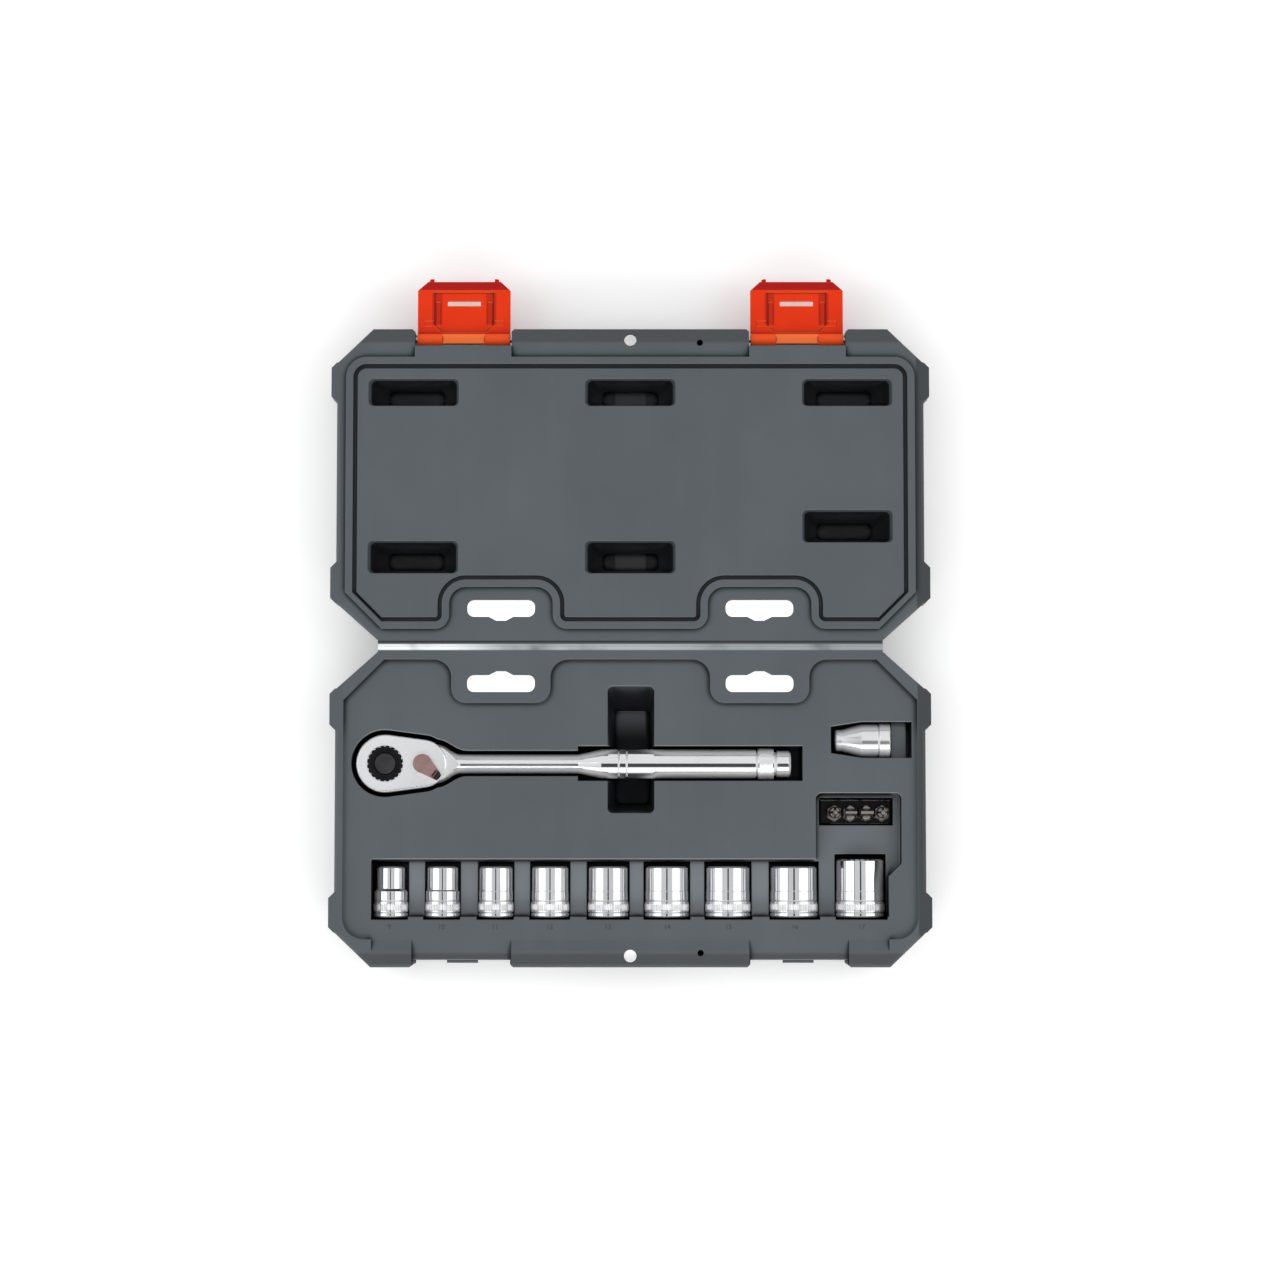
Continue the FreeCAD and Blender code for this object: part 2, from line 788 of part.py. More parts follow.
# Round-bottomed socket troughs

mouths = []
troughs = {False: [], True: []}
for flats in SOCKETS:
    x = getattr(d, "socket_%d_x" % flats)
    radius = getattr(d, "socket_%d_width" % flats) / 2 + d.pocket_room
    length = trough_length(socket_length(flats))
    mouths.append(rectangle(x - radius, x + radius, d.row_front - length, d.row_front))
    troughs[flats == LONG_SOCKET].append((x, socket_axis_height(flats) + d.pocket_room - d.seat_gap, radius))
pocket(base, "trough_mouths", polygons(base, "trough_mouth_lines", mouths, level=parting),
       parting - d.shelf_height)
for is_long, rounds in troughs.items():
    length = trough_length(d.long_socket_length if is_long else d.socket_length)
    name = "long_trough" if is_long else "troughs"
    lines = circles(base, name + "_lines", rounds, "XZ_Plane", d.row_front - length)
    raised(base, "Pocket", name, lines, length)

# Ratchet pocket: head, shank, grip and the well for the drive square

head_top = tool_top - d.top_stack
head_bottom = head_top - d.head_height
ratchet_axis = head_top - d.head_height / 2
head_floor = head_bottom - d.seat_gap


def hull_corners(large, small, distance):
    """Corners where the two tangent lines meet a large and a small circle."""
    lean = (large - small) / distance
    rise = root(1 - lean * lean)
    return [(large * lean, large * rise), (distance + small * lean, small * rise),
            (distance + small * lean, -small * rise), (large * lean, -large * rise)]


def neck_curve(start, end, wide, narrow):
    """An S-shaped run of points along the handle, from a wide half-width to a narrow one."""
    shares = [step / NECK_STEPS for step in range(NECK_STEPS + 1)]
    falls = [round((1 + math.cos(math.pi * share)) / 2, 4) for share in shares]
    return [(start + (end - start) * share, narrow + (wide - narrow) * fall)
            for share, fall in zip(shares, falls)]


head_room = d.head_radius + d.head_pocket_room
lever_room = d.lever_end_radius + d.head_pocket_room
head_pocket = [(d.head_x + x, y - d.head_depth)
               for x, y in hull_corners(head_room, lever_room, d.lever_distance)]
pocket(base, "head_sides", polygon(base, "head_sides_line", head_pocket, level=parting), parting - head_floor)
cylinder(base, "Pocket", "head_round", head_room, parting - head_floor, (d.head_x, -d.head_depth, head_floor))
cylinder(base, "Pocket", "head_lever_round", lever_room, parting - head_floor,
         (d.head_x + d.lever_distance, -d.head_depth, head_floor))
shank_half = d.shank_pocket_width / 2
pocket(base, "shank_pocket", polygon(base, "shank_line", rectangle(
    d.head_x + d.lever_distance, d.handle_pocket_start + over, d.head_depth - shank_half,
    d.head_depth + shank_half), level=parting), parting - head_floor)
neck_mouth = d.neck_radius + d.head_pocket_room
neck_line = neck_curve(d.neck_start, d.neck_end + d.neck_pocket_run, neck_mouth, shank_half)
neck_room = [(d.head_x + x, side * half - d.head_depth)
             for side, run in ((1, neck_line), (-1, neck_line[::-1])) for x, half in run]
pocket(base, "neck_pocket", polygon(base, "neck_pocket_line", neck_room, level=parting), parting - head_floor)
grip_half = d.handle_pocket_width / 2
grip_floor = ratchet_axis - d.ring_radius - d.seat_gap
pocket(base, "grip_pocket", polygon(base, "grip_line", rectangle(
    d.handle_pocket_start, d.handle_pocket_end, d.head_depth - grip_half, d.head_depth + grip_half),
    level=parting), parting - grip_floor)


def runs_along_grip(edge):
    spot = edge.BoundBox
    return flat_at(grip_floor)(edge) and spot.XLength > d.handle_pocket_width.value


round_off(base, "grip_floor_round", d.handle_pocket_round, runs_along_grip)
drive_well = d.drive_square / 2 * root(as_size(2)) + d.drive_well_room
cylinder(base, "Pocket", "drive_well", drive_well, d.drive_length + over,
         (d.head_x, -d.head_depth, head_floor - d.drive_length))

# Finger pocket across the ratchet shank

finger_ends = [polygon(base, "finger_" + part, rectangle(*line), level=level) for part, level, line in (
    ("mouth", deck_level, (d.finger_left, d.finger_right, d.finger_start, d.finger_end)),
    ("floor", d.finger_floor_height,
     (d.finger_floor_left, d.finger_floor_right, d.finger_floor_start, d.finger_floor_end)))]
between(base, "finger_pocket", *finger_ends)
round_off(base, "finger_round", d.finger_round, spans(d.finger_floor_height, deck_level))

# Adapter trough with a raised finger step beside it

adapter_axis = tool_top - d.adapter_radius
adapter_right = d.adapter_left + d.adapter_length
adapter_room = d.adapter_radius + d.adapter_pocket_room
adapter_trough_end = adapter_right + d.adapter_pocket_room
adapter_trough_height = adapter_axis + d.adapter_pocket_room - d.seat_gap
adapter_tip_room = d.adapter_tip_radius + d.adapter_tip_pocket_room
adapter_taper_x = adapter_right - d.adapter_taper_start
adapter_run = [(d.adapter_pocket_left, adapter_tip_room), (adapter_taper_x, adapter_room),
               (adapter_trough_end, adapter_room)]
adapter_mouth = [(x, side * half - d.adapter_depth)
                 for side, run in ((1, adapter_run), (-1, adapter_run[::-1])) for x, half in run]
pocket(base, "adapter_mouth", polygon(base, "adapter_mouth_line", adapter_mouth, level=parting),
       parting - adapter_trough_height)
cylinder(base, "Pocket", "adapter_trough", adapter_room, adapter_trough_end - adapter_taper_x,
         (-d.adapter_depth, adapter_trough_height, adapter_taper_x), plane="YZ_Plane")
taper_ends = [circles(base, "adapter_taper_" + part, [(-d.adapter_depth, adapter_trough_height, radius)],
                      "YZ_Plane", x)
              for part, x, radius in (("tip", d.adapter_pocket_left, adapter_tip_room),
                                      ("root", adapter_taper_x, adapter_room))]
between(base, "adapter_taper_trough", *taper_ends)
for name, left, floor in (
        ("step", adapter_trough_end - over, d.adapter_step_height),
        ("gap", d.adapter_step_end - d.adapter_gap_width, d.adapter_step_height - d.adapter_gap_depth)):
    pocket(base, "adapter_" + name, polygon(base, "adapter_%s_line" % name, rectangle(
        left, d.adapter_step_end, d.adapter_depth - adapter_room, d.adapter_depth + adapter_room),
        level=parting), parting - floor)

# Bit holder pocket

holder_right = d.holder_left + d.holder_length
holder_end = d.holder_start + d.holder_width
pocket(base, "holder_pocket", polygon(base, "holder_line", rectangle(
    d.holder_left, holder_right, d.holder_start, holder_end), level=parting), parting - d.holder_floor_height)

# Case lid

lid = case_tray("case_lid", 1)


def lid_line(kind, name, inset, level, height):
    """A raised or cut area inside the lid's rim, a set distance in from the rib's outer face."""
    side, front = deck_side - d.rib_fit - inset, deck_front - d.rib_fit - inset
    rear = d.deck_hinge_depth + d.rib_hinge_set_back + inset
    half_width, end = d.tab_half_width + d.rib_tab_fit + inset, d.tab_depth + d.rib_tab_fit + inset
    outline = polygon(lid, name + "_line", inner_outline(1, side, rear, front, half_width, end), level=level)
    (pad if kind == "Pad" else pocket)(lid, name, outline, height)
    rounds = (("front", d.deck_front_round - d.rib_fit - inset, [(side, front)]),
              ("tab", d.tab_round + d.rib_tab_fit + inset, tab_corners(1, half_width, end)),
              ("root", d.tab_root_round - d.rib_hinge_set_back - inset, tab_roots(1, half_width, rear)))
    for corner, radius, spots in rounds:
        round_off(lid, "%s_%s_round" % (name, corner), radius,
                  upright_at(both_sides(spots), parting, parting + d.rib_height))


lid_line("Pad", "rib", ZERO, parting, d.rib_height)
latch_pads = [block(side * d.latch_spacing / 2, notch_half, deck_front - d.rib_fit - d.rib_width / 2,
                    front_edge - d.lid_notch_depth) for side in (-1, 1)]
pad(lid, "latch_pads", polygons(lid, "latch_pad_lines", latch_pads, level=parting), d.rib_height)
lid_line("Pocket", "rib_inside", d.rib_width, parting + d.rib_height, d.rib_height)
lid_line("Pad", "panel", d.rib_width + d.groove_width, parting, d.panel_height)
fit_out(lid, "case_lid", 1, d.lid_notch_depth)

# Tack-off pockets, wide at the panel and narrow at their floor

TACK_ROWS = (
    ("front_left", -1, d.tack_front_depth, d.tack_front_width),
    ("front_middle", 0, d.tack_front_depth, d.tack_front_width),
    ("front_right", 1, d.tack_front_depth, d.tack_front_width),
    ("rear_left", -1, d.tack_rear_depth, d.tack_rear_width),
    ("rear_middle", 0, d.tack_rear_depth, d.tack_rear_width),
    ("rear_right", 1, d.tack_odd_depth, d.tack_rear_width),
)
for name, column, depth, width in TACK_ROWS:
    x = column * d.tack_spacing
    lines = []
    for part, length, across, level in (
            ("mouth", d.tack_length, width, parting + d.panel_height),
            ("floor", d.tack_floor_length, d.tack_floor_width, d.tack_floor_height)):
        lines.append(polygon(lid, "tack_%s_%s" % (name, part), [
            (x - length / 2, depth - across / 2), (x + length / 2, depth - across / 2),
            (x + length / 2, depth + across / 2), (x - length / 2, depth + across / 2),
        ], level=level))
    between(lid, "tack_%s" % name, *lines)
round_off(lid, "tack_rounds", d.tack_round, spans(d.tack_floor_height, parting + d.panel_height))

# Blind seats for the latch pins in the side walls of the lid's notches

pin_level = parting - d.latch_pivot_drop
for side in (-1, 1):
    seat_half = notch_half + d.latch_pin_seat
    cylinder(lid, "Pocket", "pin_seat_%s" % "lr"[side > 0], d.latch_pin_radius + d.pin_fit, 2 * seat_half,
             (latch_pivot, pin_level, side * d.latch_spacing / 2 - seat_half), plane="YZ_Plane")


def hexagon(flats, x=ZERO, y=ZERO):
    """Corners of a hexagon with two flats facing along X."""
    half = flats / 2
    point = flats / root(as_size(3))
    return [(x + half, y + point / 2), (x, y + point), (x - half, y + point / 2),
            (x - half, y - point / 2), (x, y - point), (x + half, y - point / 2)]


# Latches and their pins

plate_high = -d.latch_plate_offset
plate_low = plate_high - d.latch_plate_thickness
latch_tip = d.latch_plate_length + d.latch_lip_length


def make_latch(label, x):
    body = new_body(label)
    place(body, x=x, y=hinge_y + latch_pivot, z=pin_level)
    half = d.latch_width / 2
    profile = polygon(body, label + "_profile", [
        (ZERO, plate_low), (d.latch_plate_length, plate_low), (latch_tip, plate_low - d.latch_lip_drop),
        (latch_tip, plate_high - d.latch_lip_drop), (d.latch_plate_length, plate_high), (ZERO, plate_high),
    ], plane="YZ_Plane", level=-half)
    pad(body, label + "_plate", profile, d.latch_width)
    cylinder(body, "Pad", label + "_barrel", d.latch_barrel_radius, d.latch_width,
             (ZERO, ZERO, -half), "YZ_Plane")
    ears = [block(side * d.latch_ear_x, d.latch_ear_width / 2, latch_tip - over / 2,
                  latch_tip + d.latch_ear_reach) for side in (-1, 1)]
    ear_lines = polygons(body, label + "_ear_lines", ears, level=plate_high - d.latch_lip_drop)
    pad(body, label + "_ears", ear_lines, d.latch_plate_thickness, down=True)
    top = d.latch_barrel_radius + over
    deep = top - plate_low + d.latch_lip_drop + over
    beyond = d.latch_ear_reach + over
    cut_corners = [[(side * (half - d.latch_corner - beyond), latch_tip + beyond),
                    (side * (half + over), latch_tip - d.latch_corner - over),
                    (side * (half + over), latch_tip + beyond)] for side in (-1, 1)]
    slot = block(ZERO, d.latch_slot_length / 2, d.latch_slot_distance - d.latch_slot_width / 2,
                 d.latch_slot_distance + d.latch_slot_width / 2)
    pocket(body, label + "_cuts", polygons(body, label + "_cut_lines", cut_corners + [slot], level=top), deep)
    bar_rear = d.latch_bar_inset - d.latch_barrel_radius
    bar_room = polygon(body, label + "_bar_line", [
        (-top, -top), (bar_rear, -top), (bar_rear, d.latch_bar_radius), (top, d.latch_bar_radius),
        (top, top), (-top, top)], plane="YZ_Plane", level=-d.latch_bar_width / 2)
    raised(body, "Pocket", label + "_bar", bar_room, d.latch_bar_width)
    field = mirrored([
        (d.latch_field_half - d.latch_field_corner, d.latch_field_start),
        (d.latch_field_half, d.latch_field_start + d.latch_field_corner),
        (d.latch_field_half, d.latch_field_end)])
    pocket(body, label + "_field", polygon(body, label + "_field_line", field, level=plate_high),
           d.latch_field_depth)
    cylinder(body, "Pocket", label + "_bore", d.latch_pin_radius + d.pin_fit, d.latch_width,
             (ZERO, ZERO, -half), "YZ_Plane")
    return body


def make_latch_pin(label, x):
    body = new_body(label)
    place(body, x=x, y=hinge_y + latch_pivot, z=pin_level)
    half = notch_half + d.latch_pin_seat - d.seat_gap
    cylinder(body, "Pad", label + "_rod", d.latch_pin_radius, 2 * half, (ZERO, ZERO, -half), "YZ_Plane")


for hand, side in (("left", -1), ("right", 1)):
    make_latch("latch_" + hand, side * d.latch_spacing / 2)
    make_latch_pin("latch_pin_" + hand, side * d.latch_spacing / 2)

# Bit holder with a row of hexagon holes

bit_places = [d.bit_centre_x + (i - 1.5) * d.bit_pitch for i in range(4)]
holder_x = d.holder_left + d.holder_length / 2
holder_depth = d.holder_start + d.holder_width / 2
holder = new_body("bit_holder")
place(holder, x=holder_x, y=hinge_y - holder_depth, z=d.holder_floor_height)
holder_block = block(ZERO, d.holder_length / 2 - d.holder_fit, -d.holder_width / 2 + d.holder_fit,
                     d.holder_width / 2 - d.holder_fit)
pad(holder, "holder_block", polygon(holder, "holder_block_line", holder_block), d.holder_height)
round_off(holder, "holder_top_edge", d.holder_edge, flat_at(d.holder_height), "Chamfer")
hex_holes = [hexagon(d.bit_flats + 2 * d.bit_fit, x - holder_x, holder_depth - d.bit_depth)
             for x in bit_places]
pocket(holder, "holder_holes", polygons(holder, "holder_hole_lines", hex_holes, level=d.holder_height),
       d.holder_height)


# Insert bits

def make_bit(label, x):
    """A hexagon shank with a turned neck; the tip is added by the caller."""
    body = new_body(label)
    place(body, x=x, y=hinge_y - d.bit_depth, z=d.holder_floor_height + d.seat_gap)
    pad(body, label + "_shank", polygon(body, label + "_hexagon", hexagon(d.bit_flats)), d.bit_shank_length)
    round_off(body, label + "_foot", d.bit_chamfer, flat_at(ZERO), "Chamfer")
    return body


def make_cross_bit(label, x):
    body = make_bit(label, x)
    start = d.bit_shank_length - over
    revolve(body, "Revolution", label + "_point", [
        (ZERO, start), (d.bit_neck_radius, start), (d.bit_neck_radius, d.bit_length - d.cross_tip_length),
        (d.cross_tip_radius, d.bit_length), (ZERO, d.bit_length)], "V_Axis")
    low, high = d.cross_wing_half, d.bit_neck_radius + over
    flutes = [[(a * low, b * low), (a * high, b * low), (a * high, b * high), (a * low, b * high)]
              for a in (-1, 1) for b in (-1, 1)]
    pocket(body, label + "_flutes", polygons(body, label + "_flute_lines", flutes, level=d.bit_length),
           d.cross_wing_depth)


def make_slotted_bit(label, x, width, thickness):
    body = make_bit(label, x)
    start = d.bit_shank_length - over
    shoulder = d.bit_length - d.blade_length
    revolve(body, "Revolution", label + "_neck", [
        (ZERO, start), (d.bit_neck_radius, start), (d.bit_neck_radius, shoulder), (ZERO, shoulder)], "V_Axis")
    blade = polygon(body, label + "_blade_line", [
        (-d.bit_neck_radius, start), (d.bit_neck_radius, start), (thickness / 2, d.bit_length),
        (-thickness / 2, d.bit_length)], plane="YZ_Plane", level=-width / 2)
    pad(body, label + "_blade", blade, width)


make_cross_bit("cross_bit_large", bit_places[0])
make_slotted_bit("slotted_bit", bit_places[1], d.blade_width, d.blade_thickness)
make_slotted_bit("slotted_bit_wide", bit_places[2], d.wide_blade_width, d.wide_blade_thickness)
make_cross_bit("cross_bit_small", bit_places[3])


# Sockets, each turned about its own axis and then laid along the row with its drive end to the front

def make_socket(flats):
    label = "socket_%02dmm" % flats
    body = new_body(label)
    length = socket_length(flats)
    place(body, x=getattr(d, "socket_%d_x" % flats), y=hinge_y - d.row_front + d.row_end_room,
          z=socket_axis_height(flats), axis=(1, 0, 0), angle=-90)
    outer = getattr(d, "socket_%d_width" % flats) / 2
    nose = getattr(d, "socket_%d_nose" % flats) / 2
    across = getattr(d, "socket_%d_flats" % flats) + 2 * d.socket_hex_fit
    grooved = outer - d.socket_groove_depth
    barrel = outer - d.socket_body_drop
    band_end = d.socket_band_start + d.socket_band_length
    revolve(body, "Revolution", label + "_turned", [
        (ZERO, ZERO), (outer - d.socket_edge, ZERO), (outer, d.socket_edge), (outer, d.socket_band_start),
        (grooved, d.socket_band_start), (grooved, d.socket_band_start + d.socket_band_groove),
        (outer, d.socket_band_start + d.socket_band_groove), (outer, band_end), (grooved, band_end),
        (grooved, band_end + d.socket_band_groove), (barrel, band_end + d.socket_band_groove),
        (barrel, d.socket_shoulder), (nose, d.socket_shoulder + barrel - nose),
        (nose, length - d.socket_nose_edge), (nose - d.socket_nose_edge, length), (ZERO, length)], "V_Axis")
    drive_half = d.drive_square / 2 + d.socket_drive_fit
    raised(body, "Pocket", label + "_drive", polygon(
        body, label + "_drive_line", block(ZERO, drive_half, -drive_half, drive_half)), d.socket_drive_depth)
    pocket(body, label + "_hex", polygon(body, label + "_hex_line", hexagon(across), level=length),
           length - d.socket_drive_depth - d.socket_web)
    cylinder(body, "Pocket", label + "_through", d.socket_hole_radius, length, (ZERO, ZERO, ZERO))
    mouth = across / root(as_size(3)) + d.socket_lead_in
    revolve(body, "Groove", label + "_lead_in", [
        (ZERO, length - mouth), (mouth, length), (ZERO, length)], "V_Axis")


for flats in SOCKETS:
    make_socket(flats)

# Bit adapter, square drive to hexagon, with a magnet at the bottom of its hexagon

adapter = new_body("bit_adapter")
place(adapter, x=adapter_right, y=hinge_y - d.adapter_depth, z=adapter_axis, axis=(0, 1, 0), angle=-90)
ring_end = d.adapter_ring_length
revolve(adapter, "Revolution", "adapter_turned", [
    (ZERO, ZERO), (d.adapter_radius - d.adapter_edge, ZERO), (d.adapter_radius, d.adapter_edge),
    (d.adapter_radius, ring_end), (d.adapter_body_radius - d.adapter_edge, ring_end),
    (d.adapter_body_radius - d.adapter_edge, ring_end + d.adapter_ring_groove),
    (d.adapter_body_radius, ring_end + d.adapter_ring_groove), (d.adapter_body_radius, d.adapter_taper_start),
    (d.adapter_tip_radius, d.adapter_taper_end), (d.adapter_tip_radius, d.adapter_length - d.adapter_edge),
    (d.adapter_tip_radius - d.adapter_edge, d.adapter_length), (ZERO, d.adapter_length)], "V_Axis")
adapter_drive = d.drive_square / 2 + d.socket_drive_fit
drive_line = polygon(adapter, "adapter_drive_line", block(ZERO, adapter_drive, -adapter_drive, adapter_drive))
raised(adapter, "Pocket", "adapter_drive", drive_line, d.socket_drive_depth)
hex_floor = d.adapter_length - d.adapter_hex_depth
hex_line = polygon(adapter, "adapter_hex_line", hexagon(d.bit_flats + 2 * d.bit_fit), level=d.adapter_length)
pocket(adapter, "adapter_hex", hex_line, d.adapter_hex_depth)
cylinder(adapter, "Pocket", "magnet_seat", d.magnet_radius + d.magnet_fit, d.magnet_length + over,
         (ZERO, ZERO, hex_floor - d.magnet_length))
magnet = new_body("adapter_magnet")
place(magnet, x=adapter_right - hex_floor, y=hinge_y - d.adapter_depth, z=adapter_axis,
      axis=(0, 1, 0), angle=-90)
cylinder(magnet, "Pad", "magnet_disc", d.magnet_radius, d.magnet_length, (ZERO, ZERO, -d.magnet_length))

# Ratchet handle: turned grip and shank, flattened neck, and a head made of two joined rounds.
# Its own frame has the drive axis at the origin, half-way up the head, and the handle along +X.

half_head = d.head_height / 2
cover_top = d.cover_thickness - half_head
cavity_low = cover_top + d.cover_fit
cavity_high = half_head - d.cavity_roof
head_y = hinge_y - d.head_depth


def joined_rounds(body, kind, name, large, small, low, height):
    """Two rounds and their tangent sides, padded or cut upwards from one level."""
    for part, x, radius in (("head", ZERO, large), ("end", d.lever_distance, small)):
        cylinder(body, kind, "%s_%s" % (name, part), radius, height, (x, ZERO, low))
    sides = polygon(body, name + "_side_line", hull_corners(large, small, d.lever_distance), level=low)
    raised(body, kind, name + "_sides", sides, height)


ratchet = new_body("ratchet_body")
place(ratchet, x=d.head_x, y=head_y, z=ratchet_axis)
groove_radius = d.grip_radius - d.bead_groove_depth
cap_groove = d.cap_radius - d.bead_groove_depth
bead_groove_end = d.bead_start + d.bead_groove_width
bead_groove_start = d.bead_end - d.bead_groove_width
revolve(ratchet, "Revolution", "handle_turned", [
    (d.lever_distance, ZERO), (d.lever_distance, d.neck_radius),
    *neck_curve(d.neck_start, d.neck_end, d.neck_radius, d.shank_radius),
    (d.shank_end, d.shank_radius), (d.grip_start, d.grip_radius),
    (d.bead_start, d.grip_radius), (d.bead_start, groove_radius), (bead_groove_end, groove_radius),
    (bead_groove_end, d.grip_radius), (bead_groove_start, d.grip_radius), (bead_groove_start, groove_radius),
    (d.bead_end, groove_radius), (d.bead_end, d.grip_radius), (d.grip_end, d.grip_radius),
    (d.grip_end, groove_radius), (d.ring_start, groove_radius), (d.ring_start, d.ring_radius),
    (d.ring_end, d.ring_radius), (d.ring_end, cap_groove), (d.cap_start, cap_groove),
    (d.cap_start, d.cap_radius), (d.handle_length - d.cap_edge, d.cap_radius),
    (d.handle_length, d.cap_radius - d.cap_edge), (d.handle_length, ZERO)], "H_Axis")
neck_flat = [(d.lever_distance - over, -d.neck_radius - over), (d.neck_end, -d.neck_radius - over),
             (d.neck_end, d.neck_radius + over), (d.lever_distance - over, d.neck_radius + over)]
raised(ratchet, "Pocket", "neck_flat_top",
       polygon(ratchet, "neck_flat_top_line", neck_flat, level=d.neck_flat_height / 2), d.neck_radius)
pocket(ratchet, "neck_flat_bottom",
       polygon(ratchet, "neck_flat_bottom_line", neck_flat, level=-d.neck_flat_height / 2), d.neck_radius)
joined_rounds(ratchet, "Pad", "head", d.head_radius, d.lever_end_radius, -half_head, d.head_height)
round_off(ratchet, "head_rim", d.head_rim_round,
          lambda edge: flat_at(half_head)(edge) or flat_at(-half_head)(edge))
joined_rounds(ratchet, "Pocket", "cover_recess", d.cover_radius + d.cover_fit,
              d.cover_end_radius + d.cover_fit, -half_head, d.cover_thickness + d.cover_fit)
cylinder(ratchet, "Pocket", "gear_cavity", d.cavity_radius, cavity_high + half_head, (ZERO, ZERO, -half_head))
pawl_room = [(ZERO, -d.pawl_room_half), (d.pawl_room_end, -d.pawl_room_half),
             (d.pawl_room_end, d.pawl_room_half), (ZERO, d.pawl_room_half)]
raised(ratchet, "Pocket", "pawl_cavity", polygon(ratchet, "pawl_cavity_line", pawl_room, level=-half_head),
       cavity_high + half_head)
cylinder(ratchet, "Pocket", "hub_hole", d.hub_radius + d.running_fit, d.head_height, (ZERO, ZERO, -half_head))
cylinder(ratchet, "Pocket", "lever_hole", d.lever_spindle_radius + d.running_fit, d.head_height,
         (d.lever_distance, ZERO, -half_head))
screw_places = [(d.screw_x, side * d.screw_y) for side in (-1, 1)]
raised(ratchet, "Pocket", "screw_holes", circles(ratchet, "screw_hole_lines", [
    (x, y, d.screw_radius + d.screw_fit) for x, y in screw_places], level=-half_head),
    d.screw_head_height + d.screw_length + d.seat_gap)

# Cover plate under the head and its two screws

cover = new_body("gear_cover_plate")
place(cover, x=d.head_x, y=head_y, z=ratchet_axis)
joined_rounds(cover, "Pad", "cover", d.cover_radius, d.cover_end_radius, -half_head, d.cover_thickness)
cylinder(cover, "Pocket", "cover_hole", d.collar_radius + d.running_fit, d.cover_thickness,
         (ZERO, ZERO, -half_head))
for name, radius, depth in (("screw_clearance", d.screw_radius, d.cover_thickness),
                            ("screw_counterbore", d.screw_head_radius, d.screw_head_height)):
    raised(cover, "Pocket", name, circles(cover, name + "_lines", [
        (x, y, radius + d.screw_fit) for x, y in screw_places], level=-half_head), depth)
for number, (x, y) in enumerate(screw_places, start=1):
    label = "cover_screw_%d" % number
    screw = new_body(label)
    place(screw, x=d.head_x + x, y=head_y + y, z=ratchet_axis - half_head)
    cylinder(screw, "Pad", label + "_head", d.screw_head_radius, d.screw_head_height, (ZERO, ZERO, ZERO))
    cylinder(screw, "Pad", label + "_shaft", d.screw_radius, d.screw_length,
             (ZERO, ZERO, d.screw_head_height))

# Reverse lever: thumb tongue on top, spindle through the head, journal down through the pawl

lever = new_body("reverse_lever")
place(lever, x=d.head_x + d.lever_distance, y=head_y, z=ratchet_axis,
      axis=(0, 0, -1), angle=d.lever_swing.value)
lever_low = half_head + d.lever_lift
cylinder(lever, "Pad", "lever_disc", d.lever_disc_radius, d.lever_thickness, (ZERO, ZERO, lever_low))
tongue_tip = d.lever_reach - d.lever_tip_radius
tongue = [(ZERO, -d.lever_disc_radius), (tongue_tip, -d.lever_tip_radius),
          (tongue_tip, d.lever_tip_radius), (ZERO, d.lever_disc_radius)]
tongue_line = polygon(lever, "lever_tongue_line", tongue, level=lever_low)
raised(lever, "Pad", "lever_tongue", tongue_line, d.lever_thickness)
cylinder(lever, "Pad", "lever_tip", d.lever_tip_radius, d.lever_thickness, (tongue_tip, ZERO, lever_low))
cylinder(lever, "Pad", "lever_spindle", d.lever_spindle_radius, lever_low - cavity_high + d.gear_end_gap,
         (ZERO, ZERO, cavity_high - d.gear_end_gap))
cylinder(lever, "Pad", "lever_journal", d.lever_journal_radius, cavity_high - cavity_low - d.gear_end_gap,
         (ZERO, ZERO, cavity_low))

# Drive gear: toothed rim, hub seen in the top of the head, collar and square

gear_low = cavity_low + d.gear_end_gap
gear_high = cavity_high - 2 * d.gear_end_gap
square_end = -half_head - d.drive_length
ball_height = -half_head - d.ball_level
well_floor = half_head + d.hub_rise - d.button_well_depth
stem_bore_end = square_end + d.drive_end_wall


def rod(radius, low, high):
    return Part.makeCylinder(radius.value, high.value - low.value, FreeCAD.Vector(0, 0, low.value))


def toothed_rim(gap):
    """The gear's toothed prism, swollen all round by a gap."""
    teeth = int(d.gear_teeth.value)
    tip = d.gear_radius.value + gap
    foot = tip - d.gear_tooth_depth.value
    pitch = 2 * math.pi / teeth
    swell = gap / tip
    points = []
    for tooth in range(teeth):
        for radius, share in ((foot, -0.38), (tip, -0.1), (tip, 0.1), (foot, 0.38)):
            angle = tooth * pitch + share * pitch + math.copysign(swell, share)
            points.append(FreeCAD.Vector(radius * math.cos(angle), radius * math.sin(angle), gear_low.value))
    face = Part.Face(Part.makePolygon(points + points[:1]))
    return face.extrude(FreeCAD.Vector(0, 0, gear_high.value - gear_low.value))


def solid_feature(label, shape):
    """A sub-part whose shape is worked out in the ratchet's own frame."""
    feature = doc.addObject("Part::Feature", label)
    feature.Label = label
    feature.Shape = shape
    spot = FreeCAD.Vector(d.head_x.value, head_y.value, ratchet_axis.value)
    frame = FreeCAD.Placement(spot, FreeCAD.Rotation())
    feature.Placement = frame.multiply(shape.Placement)
    SUBPARTS.append(feature)
    return feature


